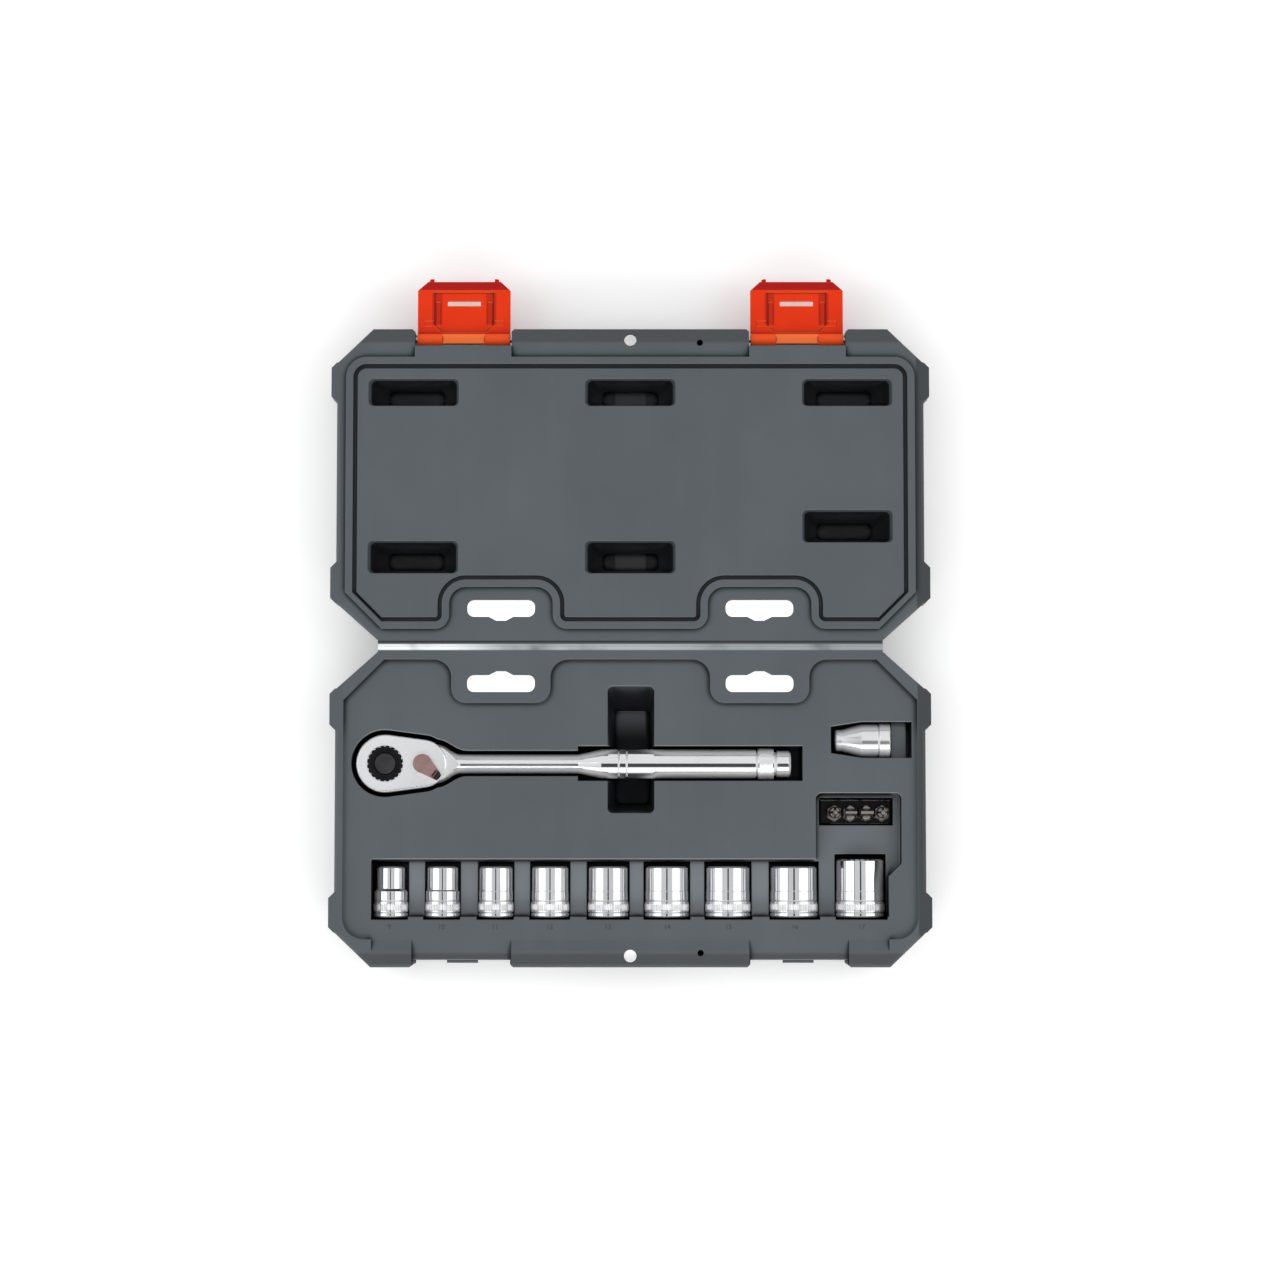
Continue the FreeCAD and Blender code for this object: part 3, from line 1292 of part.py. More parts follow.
side = d.drive_square.value
square = Part.makeBox(side, side, d.drive_length.value,
                      FreeCAD.Vector(-side / 2, -side / 2, square_end.value))
outer_edges = [edge for edge in square.Edges if edge.BoundBox.ZMin < -half_head.value - d.drive_edge.value]
square = square.makeChamfer(d.drive_edge.value, outer_edges)
gear_shape = toothed_rim(0.0).fuse([
    rod(d.hub_radius, gear_low, half_head + d.hub_rise), rod(d.collar_radius, -half_head, gear_low), square])
ball_hole = Part.makeCylinder(d.ball_radius.value + d.ball_fit.value, side,
                              FreeCAD.Vector(0, 0, ball_height.value), FreeCAD.Vector(0, -1, 0))
gear_shape = gear_shape.cut([
    rod(d.button_radius + d.running_fit, well_floor, half_head + d.hub_rise),
    rod(d.stem_radius + d.stem_fit, stem_bore_end, well_floor), ball_hole])
solid_feature("drive_gear", gear_shape.removeSplitter())

# Pawl: rocks on the lever's journal and meshes at either end of its travel

pivot = FreeCAD.Vector(d.lever_distance.value, 0, 0)
upward = FreeCAD.Vector(0, 0, 1)
pawl_height = gear_high.value - gear_low.value
pawl_width = d.pawl_half_width.value
pawl_shape = Part.makeBox(d.lever_distance.value, 2 * pawl_width, pawl_height,
                          FreeCAD.Vector(0, -pawl_width, gear_low.value))
pawl_shape = pawl_shape.fuse(rod(d.pawl_boss_radius, gear_low, gear_high).translated(pivot))
for step in range(PAWL_STEPS + 1):
    cutter = toothed_rim(d.mesh_gap.value)
    cutter.rotate(pivot, upward, d.pawl_rock.value * (2 * step / PAWL_STEPS - 1))
    pawl_shape = pawl_shape.cut(cutter)
pawl_bore = rod(d.lever_journal_radius + d.running_fit, gear_low, gear_high)
pawl_shape = pawl_shape.cut(pawl_bore.translated(pivot))
pawl_shape = max(pawl_shape.Solids, key=lambda solid: solid.Volume)
pawl_shape.rotate(pivot, upward, -d.pawl_rock.value)
solid_feature("pawl", pawl_shape)

# Quick-release button with a stem that lets the drive ball drop into its waist when pressed

button = new_body("release_button")
place(button, x=d.head_x, y=head_y, z=ratchet_axis)
button_top = half_head + d.button_proud
button_low = button_top - d.button_head_height
ramp_low = ball_height - d.stem_ramp_lead
waist_low = ramp_low + d.stem_ramp_length
waist_high = waist_low + d.stem_waist_length
stem_end = stem_bore_end + d.button_travel + d.stem_end_gap
revolve(button, "Revolution", "button_turned", [
    (ZERO, stem_end), (d.stem_radius, stem_end), (d.stem_radius, ramp_low), (d.stem_waist_radius, waist_low),
    (d.stem_waist_radius, waist_high), (d.stem_radius, waist_high + d.stem_radius - d.stem_waist_radius),
    (d.stem_radius, button_low), (d.button_radius, button_low), (d.button_radius, button_top - d.button_edge),
    (d.button_radius - d.button_edge, button_top), (ZERO, button_top)], "V_Axis")

# Drive ball, held in the side of the square

ball = doc.addObject("Part::Sphere", "drive_ball")
ball.Label = "drive_ball"
bind(ball, Radius=d.ball_radius)
place(ball, x=d.head_x, y=head_y - d.drive_square / 2 - d.ball_proud + d.ball_radius,
      z=ratchet_axis + ball_height)
SUBPARTS.append(ball)

# Checks, then one file for each sub-part

doc.recompute()
for item in doc.Objects:
    if "Invalid" in item.State or "Error" in item.State:
        raise RuntimeError("%s did not build" % item.Name)
for item in SUBPARTS:
    if item.Shape.isNull() or not item.Shape.isValid() or len(item.Shape.Solids) != 1:
        raise RuntimeError("%s is not one sound solid" % item.Label)
os.makedirs("parts", exist_ok=True)
for item in SUBPARTS:
    item.Shape.exportStep("parts/%s.step" % item.Label)
    print("%-18s %10.1f mm3" % (item.Label, item.Shape.Volume))
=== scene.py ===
"""Looks of the open socket set: materials, small added details, studio light and the camera."""
import math

import bmesh
import bpy
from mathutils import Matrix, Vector


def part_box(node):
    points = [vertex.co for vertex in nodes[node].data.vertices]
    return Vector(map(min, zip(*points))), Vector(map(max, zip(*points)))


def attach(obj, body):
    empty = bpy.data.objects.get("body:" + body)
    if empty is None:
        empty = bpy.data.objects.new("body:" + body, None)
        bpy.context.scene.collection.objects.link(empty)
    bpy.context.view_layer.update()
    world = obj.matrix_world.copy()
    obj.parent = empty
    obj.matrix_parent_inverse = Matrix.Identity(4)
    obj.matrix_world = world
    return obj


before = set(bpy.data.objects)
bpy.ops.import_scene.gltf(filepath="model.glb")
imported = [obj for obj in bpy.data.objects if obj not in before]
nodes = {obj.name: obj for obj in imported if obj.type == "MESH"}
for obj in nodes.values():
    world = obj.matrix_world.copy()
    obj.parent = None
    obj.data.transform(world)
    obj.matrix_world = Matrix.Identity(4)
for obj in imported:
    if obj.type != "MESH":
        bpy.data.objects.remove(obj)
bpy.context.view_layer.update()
MM = 0.001

# Sizes of surface effects in millimetres, and the shares of open sky between which metal is sheltered
BUMP_DEPTH = 0.1
METAL_EDGE = 0.3
SHELTER_REACH = 12.0
SHELTER_OPEN = (0.50, 0.95)

# Places in the frame, millimetres; a pair is where a change starts and ends
HINGE_Y = 78.65
HINGE_HALF_LENGTH = 122.0
HINGE_PALE = (-90.0, -58.0)
HINGE_GREY = (5.0, 50.0)
PARTING = 30.0
DECK = 27.5
SHELF = (16.5, 20.5)
SCOOP_X = (-7.0, 7.0)
SCOOP_Y = (33.0, 47.0)
SOCKET_ROW = (-118.0, 90.0)
SOCKET_REACH = (-50.5, -24.5)
LATCH_NOTCH = (222.0, 223.0)
LATCH_LIP = (253.0, 254.0)
LATCH_KNUCKLE = (231.2, 231.8)
LATCH_BAR = (10.0, 10.5)
LATCH_BAND = (11.0, 15.4)
LATCH_BAND_DEPTH = (237.0, 251.5)
LATCH_X = 81.2
LATCH_FIELD = Vector((0.0, 241.5, 22.5))
LATCH_FIELD_DEPTH = 0.7
BASE_SIDE = (125.0, 129.0)
BASE_SIDE_END = (30.0, 45.0)
RIM_X = (138.2, 139.2)
RIM_DEPTH = (147.0, 149.0)
RIM_TURN = (-10.0, 10.0)
RIB_RISE = (28.0, 28.8)
WEB_BENT = (-1.6, 0.5)
WEB_GROOVE = (1.7, 2.4)
HEAD = Vector((-118.6, 21.95, 24.9))
LEVER = Vector((-100.5, 21.95, 26.7))
LEVER_ANGLE = math.radians(-40)
LEVER_WAY = Vector((math.cos(LEVER_ANGLE), math.sin(LEVER_ANGLE), 0))
LEVER_DARK_END = (7.5, 11.0)
GRIP_RING = Vector((62.4, 21.95, 19.15))
SLOT_X = 62.5
SLOT_Y = (60.45, 96.85)
SLOT_HALF = (19.0, 8.0)
LOCK_Y = (-71.4, 232.8)
LOCK_HALF = 3.2


# Node helpers

class Graph:
    """A material or world node tree that is built up by short calls."""

    def __init__(self, owner):
        owner.use_nodes = True
        self.tree = owner.node_tree
        self.tree.nodes.clear()

    def add(self, kind, inputs=None, **settings):
        """A new node with its settings and its inputs, each a value or another node's output."""
        node = self.tree.nodes.new("ShaderNode" + kind)
        for name, value in settings.items():
            setattr(node, name, value)
        for name, value in (inputs or {}).items():
            self.feed(node.inputs[name], value)
        return node

    def feed(self, socket, value):
        """Links another node's output to a socket, or sets the socket's own value."""
        if isinstance(value, bpy.types.NodeSocket):
            self.tree.links.new(value, socket)
        else:
            socket.default_value = value

    def math(self, operation, a, b=0.0):
        return self.add("Math", {0: a, 1: b}, operation=operation).outputs[0]

    def scaled(self, value, factor, offset=0.0):
        """A value times a factor, plus an offset where there is one."""
        made = self.math("MULTIPLY", value, factor)
        return self.math("ADD", made, offset) if offset else made

    def inverse(self, mask):
        return self.math("SUBTRACT", 1.0, mask)

    def rise(self, value, start, end):
        """A smooth step from 0 to 1 between two values."""
        return self.add("MapRange", {"Value": value, "From Min": start, "From Max": end},
                        interpolation_type="SMOOTHSTEP").outputs[0]

    def window(self, value, low, high, soft):
        """1 between two values, falling to 0 over a soft edge outside them."""
        fall = self.inverse(self.rise(value, high, high + soft))
        return self.math("MULTIPLY", self.rise(value, low - soft, low), fall)

    def both(self, *masks):
        """The masks multiplied: 1 only where all of them are."""
        made = masks[0]
        for mask in masks[1:]:
            made = self.math("MULTIPLY", made, mask)
        return made

    def ramp(self, value, stops):
        """A colour ramp with its stops given as places and colours."""
        node = self.add("ValToRGB", {"Fac": value})
        elements = node.color_ramp.elements
        while len(elements) < len(stops):
            elements.new(0.5)
        for element, (place, colour) in zip(elements, stops):
            element.position = place
            element.color = colour
        return node.outputs["Color"]

    def mix(self, fac, a, b, blend="MIX"):
        """Two colours mixed by a share; the numbers are the colour sockets among the node's many."""
        node = self.add("Mix", data_type="RGBA", blend_type=blend)
        self.feed(node.inputs[0], fac)
        self.feed(node.inputs[6], a)
        self.feed(node.inputs[7], b)
        return node.outputs[2]

    def noise(self, vector, scale, detail=2.0, roughness=0.5):
        return self.add("TexNoise", {"Vector": vector, "Scale": scale, "Detail": detail,
                                     "Roughness": roughness}).outputs["Fac"]

    def place(self, scale=(1, 1, 1)):
        """Object coordinates in metres, stretched for a pattern that runs one way."""
        spot = self.add("TexCoord").outputs["Object"]
        return self.add("Mapping", {"Vector": spot, "Scale": scale}).outputs["Vector"]

    def axes(self, kind):
        """The X, Y and Z of a texture coordinate; object coordinates come in millimetres."""
        if kind == "Object":
            vector = self.place((1 / MM, 1 / MM, 1 / MM))
        else:
            vector = self.add("TexCoord").outputs[kind]
        return self.add("SeparateXYZ", {"Vector": vector}).outputs

    def hollow(self, reach, alone=True):
        """1 in the open, lower the more that the piece alone, or any piece, hides within a reach."""
        return self.add("AmbientOcclusion", {"Distance": reach * MM}, samples=12,
                        only_local=alone).outputs["AO"]

    def finish(self, **inputs):
        """The surface shader and the output, with spaces in socket names written as underscores."""
        sockets = {name.replace("_", " "): value for name, value in inputs.items()}
        shader = self.add("BsdfPrincipled", sockets)
        out = self.add("OutputMaterial")
        self.tree.links.new(shader.outputs[0], out.inputs["Surface"])

    def soft(self, edge):
        """The surface normal with its edges rounded over a radius."""
        return self.add("Bevel", {"Radius": edge * MM}, samples=8).outputs["Normal"]

    def relief(self, height, strength, edge):
        """A normal with a fine bump and softened edges."""
        return self.add("Bump", {"Strength": strength, "Distance": BUMP_DEPTH * MM, "Height": height,
                                 "Normal": self.soft(edge)}).outputs[0]

    def lean(self, edge):
        """How far a softened edge leans from its own face, as X, Y and Z."""
        face = self.add("NewGeometry").outputs["True Normal"]
        apart = self.add("VectorMath", {0: self.soft(edge), 1: face}, operation="SUBTRACT").outputs[0]
        return self.add("SeparateXYZ", {"Vector": apart}).outputs


def grey(value):
    """A neutral colour given as a linear value."""
    return (value, value, value, 1.0)


def linear(r, g, b):
    """A colour given in display values from 0 to 255."""
    def one(c):
        c /= 255
        return c / 12.92 if c <= 0.04045 else ((c + 0.055) / 1.055) ** 2.4
    return (one(r), one(g), one(b), 1.0)


def material(name):
    """A new material and its empty node tree."""
    made = bpy.data.materials.new(name)
    return made, Graph(made)


# Colours

OPEN = grey(1.0)
CASE_DARK = linear(68, 75, 78)
CASE_LIGHT = linear(86, 93, 97)
CASE_REFLECTION_STREAK = linear(66, 72, 79)
CASE_RIM_SHADE = linear(46, 50, 52)
CASE_SHELF_LIT = linear(98, 105, 110)
CASE_BARS_LIT = linear(122, 128, 133)
CASE_LIT_EDGE = linear(142, 149, 151)
WEB_LEFT = linear(236, 241, 242)
WEB_MIDDLE = linear(166, 173, 175)
WEB_RIGHT = linear(148, 155, 157)
WEB_SHADOW = linear(30, 33, 34)
ORANGE_DARK = linear(214, 44, 6)
ORANGE_LIGHT = linear(230, 56, 10)
ORANGE_LIP_SHADE = linear(172, 14, 3)
ORANGE_BAND_SHADE = linear(176, 34, 12)
ORANGE_KNUCKLE_LIT = linear(248, 116, 58)
ORANGE_KNUCKLE_SIDE_LIT = linear(238, 82, 32)
ORANGE_EDGE_HIGHLIGHT = linear(250, 116, 48)
ORANGE_HOLLOW_SHADE = (0.40, 0.22, 0.18, 1.0)
ORANGE_CREASE_SHADE = (0.36, 0.18, 0.14, 1.0)


# Materials

def case_plastic():
    """Grained grey polyethylene whitened along the bent hinge; painted shade turns its deep pockets
    almost black and darkens creases and rims, and painted light brightens shelf, bars and edges.
    """
    made, g = material("case_grey_polyethylene")
    spot = g.place()
    x, y, z = g.axes("Object")
    up = g.axes("Normal")[2]
    cloud = g.noise(spot, 18.0, 3.0)
    # Painted reflection: faint darker streaks along Y stand in for reflection bands.
    streak = g.noise(g.place((1.0, 0.12, 1.0)), 110.0)
    tone = g.mix(cloud, CASE_DARK, CASE_LIGHT)
    tone = g.mix(g.scaled(streak, 0.4), tone, CASE_REFLECTION_STREAK)
    shelf = g.both(g.window(z, *SHELF, 0.3), g.rise(up, 0.85, 0.97))
    from_hinge = g.math("SUBTRACT", y, HINGE_Y)
    off_middle = g.math("ABSOLUTE", x)
    # Painted shade: the side rims, more so on the right, and the flanges far from the hinge are
    # darker.
    turned_right = g.scaled(g.rise(x, *RIM_TURN), 0.75, 0.12)
    rim = g.math("MAXIMUM", g.both(g.rise(off_middle, *RIM_X), turned_right),
                 g.scaled(g.rise(g.math("ABSOLUTE", from_hinge), *RIM_DEPTH), 0.6))
    tone = g.mix(rim, tone, CASE_RIM_SHADE)
    on_web = g.both(g.window(z, PARTING - 0.3, PARTING + 0.1, 0.1),
                    g.window(x, -HINGE_HALF_LENGTH, HINGE_HALF_LENGTH, 2.0))
    whitened = g.rise(g.noise(spot, 60.0), 0.1, 0.5)
    bent = g.both(on_web, g.window(from_hinge, *WEB_BENT, 0.7), whitened)
    pale = g.mix(g.rise(x, *HINGE_PALE), WEB_LEFT, WEB_MIDDLE)
    pale = g.mix(g.rise(x, *HINGE_GREY), pale, WEB_RIGHT)
    tone = g.mix(bent, tone, pale)
    tone = g.mix(g.both(on_web, g.window(from_hinge, *WEB_GROOVE, 0.3)), tone, WEB_SHADOW)
    # Painted light: the shelf and the bars between the socket pockets are lighter, and no pocket shade
    # falls on the shelf.
    tone = g.mix(shelf, tone, CASE_SHELF_LIT)
    bars = g.both(g.window(x, *SOCKET_ROW, 1.0), g.window(y, *SOCKET_REACH, 1.0))
    tone = g.mix(bars, tone, CASE_BARS_LIT)
    # Painted shade: deep pockets turn almost black, but not above the deck; their deepest floors and
    # the finger scoop's rear floor are left light as painted light.
    pocket = g.ramp(g.hollow(26.0), [
        (0.10, OPEN), (0.24, grey(0.32)), (0.34, grey(0.13)), (0.74, grey(0.18)),
        (0.92, OPEN)])
    above_deck = g.rise(z, DECK - 0.7, DECK - 0.1)
    pocket = g.mix(above_deck, pocket, OPEN)
    pocket = g.mix(shelf, pocket, OPEN, "LIGHTEN")
    scoop = g.both(g.window(x, *SCOOP_X, 1.0), g.rise(y, *SCOOP_Y), g.rise(up, 0.5, 0.8))
    pocket = g.mix(scoop, pocket, OPEN)
    # Painted shade: creases and the feet of steps darken, a little less above the deck and much less
    # along the sides of the base.
    crease = g.ramp(g.hollow(3.6), [(0.54, grey(0.04)), (0.90, OPEN)])
    crease = g.mix(g.scaled(above_deck, 0.15), crease, OPEN)
    base_side = g.both(g.rise(off_middle, *BASE_SIDE), g.inverse(g.rise(y, *BASE_SIDE_END)))
    crease = g.mix(g.scaled(base_side, 0.8), crease, OPEN)
    shade = g.mix(1.0, pocket, crease, "MULTIPLY")
    lit_edge = g.rise(g.scaled(g.lean(1.1)[1], -1.0), 0.08, 0.6)
    on_rib = g.scaled(g.rise(z, *RIB_RISE), 0.62)
    lit_edge = g.both(lit_edge, g.math("SUBTRACT", 0.75, on_rib),
                      g.inverse(g.rise(y, *LATCH_NOTCH)))
    tone = g.mix(lit_edge, tone, CASE_LIT_EDGE)
    grain = g.noise(spot, 2600.0, 3.0, 0.6)
    rough = g.math("SUBTRACT", g.scaled(grain, 0.14, 0.38), g.scaled(bent, 0.2))
    g.finish(Base_Color=g.mix(1.0, tone, shade, "MULTIPLY"), Roughness=rough,
             Normal=g.relief(grain, 0.16, 0.9), Specular_IOR_Level=g.scaled(shade, 0.45))
    return made


def latch_plastic():
    """Smooth orange-red polypropylene, with painted shade in its corners, on its lip and beside its
    field, and painted light on its knuckles and edges.
    """
    made, g = material("latch_orange_polypropylene")
    spot = g.place()
    cloud = g.noise(spot, 60.0)
    tone = g.mix(cloud, ORANGE_DARK, ORANGE_LIGHT)
    x, y, _ = g.axes("Object")
    from_middle = g.math("ABSOLUTE", g.math("SUBTRACT", g.math("ABSOLUTE", x), LATCH_X))
    # Painted shade: the sloping lip is a deeper red.
    tone = g.mix(g.rise(y, *LATCH_LIP), tone, ORANGE_LIP_SHADE)
    # Painted shade: darker bands along both sides of the recessed field.
    band = g.both(g.window(from_middle, *LATCH_BAND, 0.5), g.window(y, *LATCH_BAND_DEPTH, 1.0))
    tone = g.mix(g.scaled(band, 0.8), tone, ORANGE_BAND_SHADE)
    # Painted light: the knuckles are paler orange, the middle one palest.
    side_knuckle = g.rise(from_middle, *LATCH_BAR)
    knuckle = g.mix(side_knuckle, ORANGE_KNUCKLE_LIT, ORANGE_KNUCKLE_SIDE_LIT)
    tone = g.mix(g.inverse(g.rise(y, *LATCH_KNUCKLE)), tone, knuckle)
    # Painted highlight: edges that lean forwards or backwards are paler.
    edge_highlight = g.rise(g.math("ABSOLUTE", g.lean(0.7)[1]), 0.08, 0.6)
    tone = g.mix(edge_highlight, tone, ORANGE_EDGE_HIGHLIGHT)
    # Painted shade: corners and creases are darkened.
    near = g.mix(1.0, g.ramp(g.hollow(3.0), [(0.35, ORANGE_HOLLOW_SHADE), (0.85, OPEN)]),
                 g.ramp(g.hollow(1.2), [(0.45, ORANGE_CREASE_SHADE), (0.92, OPEN)]), "MULTIPLY")
    g.finish(Base_Color=g.mix(1.0, tone, near, "MULTIPLY"), Roughness=g.scaled(cloud, 0.12, 0.26),
             Normal=g.relief(g.noise(spot, 1800.0), 0.06, 0.5), Specular_IOR_Level=0.14)
    return made


def black_plastic():
    """Fine-grained black polypropylene, with a pale painted highlight in broken dashes along its rear
    edge.
    """
    made, g = material("holder_black_polypropylene")
    spot = g.place()
    fine = g.noise(spot, 1500.0, 3.0)
    tone = g.mix(g.noise(spot, 200.0), linear(10, 10, 11), linear(22, 22, 24))
    # Painted highlight: pale dashes along the rear edge.
    edge_highlight = g.both(g.rise(g.lean(1.0)[1], 0.05, 0.4), g.rise(g.noise(spot, 240.0), 0.36, 0.5))
    tone = g.mix(edge_highlight, tone, linear(176, 170, 170))
    g.finish(Base_Color=tone, Roughness=g.scaled(fine, 0.2, 0.45),
             Normal=g.relief(fine, 0.15, 0.4), Specular_IOR_Level=0.15)
    return made


def lever_nickel():
    """Warm satin nickel in a pink-brown tone that is a painted reflection, darker towards the thumb
    end.
    """
    made, g = material("lever_satin_nickel")
    x, y, _ = g.axes("Object")
    along = g.math("ADD", g.scaled(g.math("SUBTRACT", x, LEVER.x), LEVER_WAY.x),
                   g.scaled(g.math("SUBTRACT", y, LEVER.y), LEVER_WAY.y))
    smudge = g.noise(g.place(), 260.0, 3.0)
    # The thumb end is darker.
    dark_end = g.rise(g.math("ADD", along, g.scaled(smudge, 3.0)), *LEVER_DARK_END)
    # Painted reflection: the pink-brown tone stands in for what the lever reflects.
    tone = g.mix(smudge, linear(140, 110, 109), linear(176, 146, 143))
    g.finish(Base_Color=g.mix(dark_end, tone, linear(70, 50, 49)), Metallic=0.8,
             Roughness=g.scaled(smudge, 0.12, 0.24),
             Normal=g.relief(g.noise(g.place(), 1600.0), 0.05, 0.4))
    return made


def moulded_mark():
    """The case's own plastic, painted darker as the shade of a moulded numeral."""
    made, g = material("moulded_mark")
    fine = g.noise(g.place(), 1500.0, 3.0)
    g.finish(Base_Color=g.mix(fine, linear(38, 42, 44), linear(56, 61, 63)), Roughness=0.55,
             Normal=g.relief(fine, 0.1, 0.1))
    return made


def metal(name, dark, light, low, high, scratch=(1, 1, 1), scale=900.0, depth=0.02, smear=40.0,
          dull=0.0, metallic=1.0, painted_light_haze=0.0):
    """Plated or ground steel with smeared polish and fine scratches.

    Roughness runs from low to high. Where other pieces shelter the surface, as in a pocket, it is
    duller, and hazed paler and less like a mirror: painted light.
    """
    made, g = material(name)
    smudge = g.noise(g.place(), smear, 3.0)
    lines = g.noise(g.place(scratch), scale, 2.0, 0.6)
    rough = g.scaled(smudge, high - low, low)
    if painted_light_haze:
        # Painted light: in a pocket the metal is hazed paler and less like a mirror.
        sheltered = g.inverse(g.rise(g.hollow(SHELTER_REACH, alone=False), *SHELTER_OPEN))
        metallic = g.math("SUBTRACT", metallic, g.scaled(sheltered, painted_light_haze))
        rough = g.math("ADD", rough, g.scaled(sheltered, dull))
    g.finish(Base_Color=g.mix(smudge, dark, light), Metallic=metallic, Roughness=rough,
             Normal=g.relief(lines, depth, METAL_EDGE))
    return made


case_mat = case_plastic()
latch_mat = latch_plastic()
holder_mat = black_plastic()
chrome = metal("polished_chrome", linear(222, 224, 226), linear(244, 245, 246), 0.03, 0.09,
               depth=0.015, dull=0.35, metallic=0.95, painted_light_haze=0.85)
socket_chrome = metal("socket_chrome", linear(188, 189, 192), linear(222, 222, 223), 0.02, 0.06,
                      scratch=(1, 0.03, 1), scale=1400.0, metallic=0.97, painted_light_haze=0.4)
adapter_chrome = metal("adapter_satin_chrome", linear(220, 221, 223), linear(242, 243, 244),
                       0.06, 0.14, dull=0.3, metallic=0.75, painted_light_haze=0.75)
lever_metal = lever_nickel()
mark_mat = moulded_mark()
black_oxide = metal("black_oxide_steel", linear(26, 26, 28), linear(44, 44, 47), 0.34, 0.50,
                    depth=0.10, smear=150.0)
button_black = metal("button_black_oxide", linear(50, 50, 52), linear(78, 78, 80), 0.32, 0.46,
                     depth=0.08, smear=200.0)
bit_steel = metal("satin_bit_steel", linear(112, 105, 101), linear(172, 164, 158), 0.26, 0.42,
                  scratch=(1, 1, 0.05), depth=0.08)
ground = metal("ground_steel", linear(176, 177, 180), linear(206, 207, 210), 0.16, 0.30,
               scratch=(0.05, 1, 1), depth=0.08)
zinc = metal("zinc_plated_pin", linear(170, 172, 176), linear(205, 206, 208), 0.18, 0.30,
             depth=0.04)

FINISH = {
    "case_base": case_mat, "case_lid": case_mat, "bit_holder": holder_mat,
    "latch_left": latch_mat, "latch_right": latch_mat,
    "latch_pin_left": zinc, "latch_pin_right": zinc,
    "ratchet_body": chrome, "reverse_lever": lever_metal, "release_button": button_black,
    "drive_gear": black_oxide, "cover_screw_1": black_oxide, "cover_screw_2": black_oxide,
    "gear_cover_plate": ground, "pawl": ground, "drive_ball": ground,
    "bit_adapter": adapter_chrome, "adapter_magnet": ground,
}
for name, node in nodes.items():
    finish = FINISH.get(name) or (socket_chrome if name.startswith("socket_") else bit_steel)
    node.data.materials.clear()
    node.data.materials.append(finish)


# Added details, in millimetres

AXIS_X, AXIS_Y, AXIS_Z = Vector((1, 0, 0)), Vector((0, 1, 0)), Vector((0, 0, 1))
BAR_SUNK = 0.05
BAR_TOP_SHARE = 0.7
NUMERAL_SIZE = 3.4
NUMERAL_HEIGHT = 0.06
NUMERAL_FROM_SOCKET = 5.6
SOCKET_KNURL_FROM_END = 2.6
RAIL_FROM_MIDDLE = 12.6
FOOT_FROM_RAIL = 4.6
HUB_LIFT = 0.15
HUB_RIM_RADIUS = 8.59
HUB_NOTCH_RADIUS = 8.58
HUB_NOTCHES = 20
HUB_NOTCH_DEPTH = 0.42
HUB_NOTCH_HEIGHT = 0.12
HUB_STEPS_PER_NOTCH = 12
COLLAR_SECTION = ((6.7, 0.0), (6.4, 0.5), (5.6, 0.5), (5.5, 0.0))
COLLAR_STEPS = 96
LEVER_RIDGES = (7.4, 8.9, 10.4)


def piece(name, corners, faces, finish, body):
    """A mesh from corners and faces, turned outwards, that rides on one body."""
    mesh = bpy.data.meshes.new(name)
    mesh.from_pydata([Vector(corner) * MM for corner in corners], [], faces)
    shape = bmesh.new()
    shape.from_mesh(mesh)
    bmesh.ops.recalc_face_normals(shape, faces=shape.faces)
    shape.to_mesh(mesh)
    shape.free()
    mesh.materials.append(finish)
    made = bpy.data.objects.new(name, mesh)
    bpy.context.scene.collection.objects.link(made)
    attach(made, body)


def closed_rings(rings):
    """Corners and faces of a tube whose cross-section rings run round and meet their start."""
    count = len(rings[0])
    faces = []
    for k in range(len(rings)):
        first, second = k * count, (k + 1) % len(rings) * count
        for i in range(count):
            after = (i + 1) % count
            faces.append((first + i, first + after, second + after, second + i))
    return [corner for ring in rings for corner in ring], faces


def ring(centre, along, radii):
    """Points round an axis at even angles, one for each radius."""
    side = AXIS_Z if abs(along.z) < 0.5 else AXIS_X
    other = along.cross(side)
    turn = 2 * math.pi / len(radii)
    return [centre + radius * (math.cos(i * turn) * side + math.sin(i * turn) * other)
            for i, radius in enumerate(radii)]


def knurl(name, body, finish, start, along, length, inner, outer, depth, rows, pitch, crossed):
    """A knurled sleeve round a turned piece: straight ridges, or crossed ones that leave pyramids."""
    teeth = round(2 * math.pi * outer / pitch)
    rings = []
    for row in range(rows + 1):
        at_end = row in (0, rows)
        radii = [outer - depth if at_end or (i + row * crossed) % 2 else outer
                 for i in range(2 * teeth)]
        rings.append(ring(start + along * (length * row / rows), along, radii))
    for step in (length, 0.0):
        rings.append(ring(start + along * step, along, [inner] * (2 * teeth)))
    piece(name, *closed_rings(rings), finish, body)


def bar(name, body, finish, centre, angle, length, width, height):
    """A small ridge with sloped sides, sunk a little into a level face."""
    way = Vector((math.cos(angle), math.sin(angle), 0))
    side = Vector((-way.y, way.x, 0))
    corners = [centre + way * (a * length / 2 * share) + side * (b * width / 2 * share) + AXIS_Z * rise
               for share, rise in ((1.0, -BAR_SUNK), (BAR_TOP_SHARE, height))
               for a, b in ((-1, -1), (1, -1), (1, 1), (-1, 1))]
    sides = [(i, (i + 1) % 4, 4 + (i + 1) % 4, 4 + i) for i in range(4)]
    faces = [(0, 1, 2, 3), (4, 5, 6, 7)] + sides
    piece(name, corners, faces, finish, body)


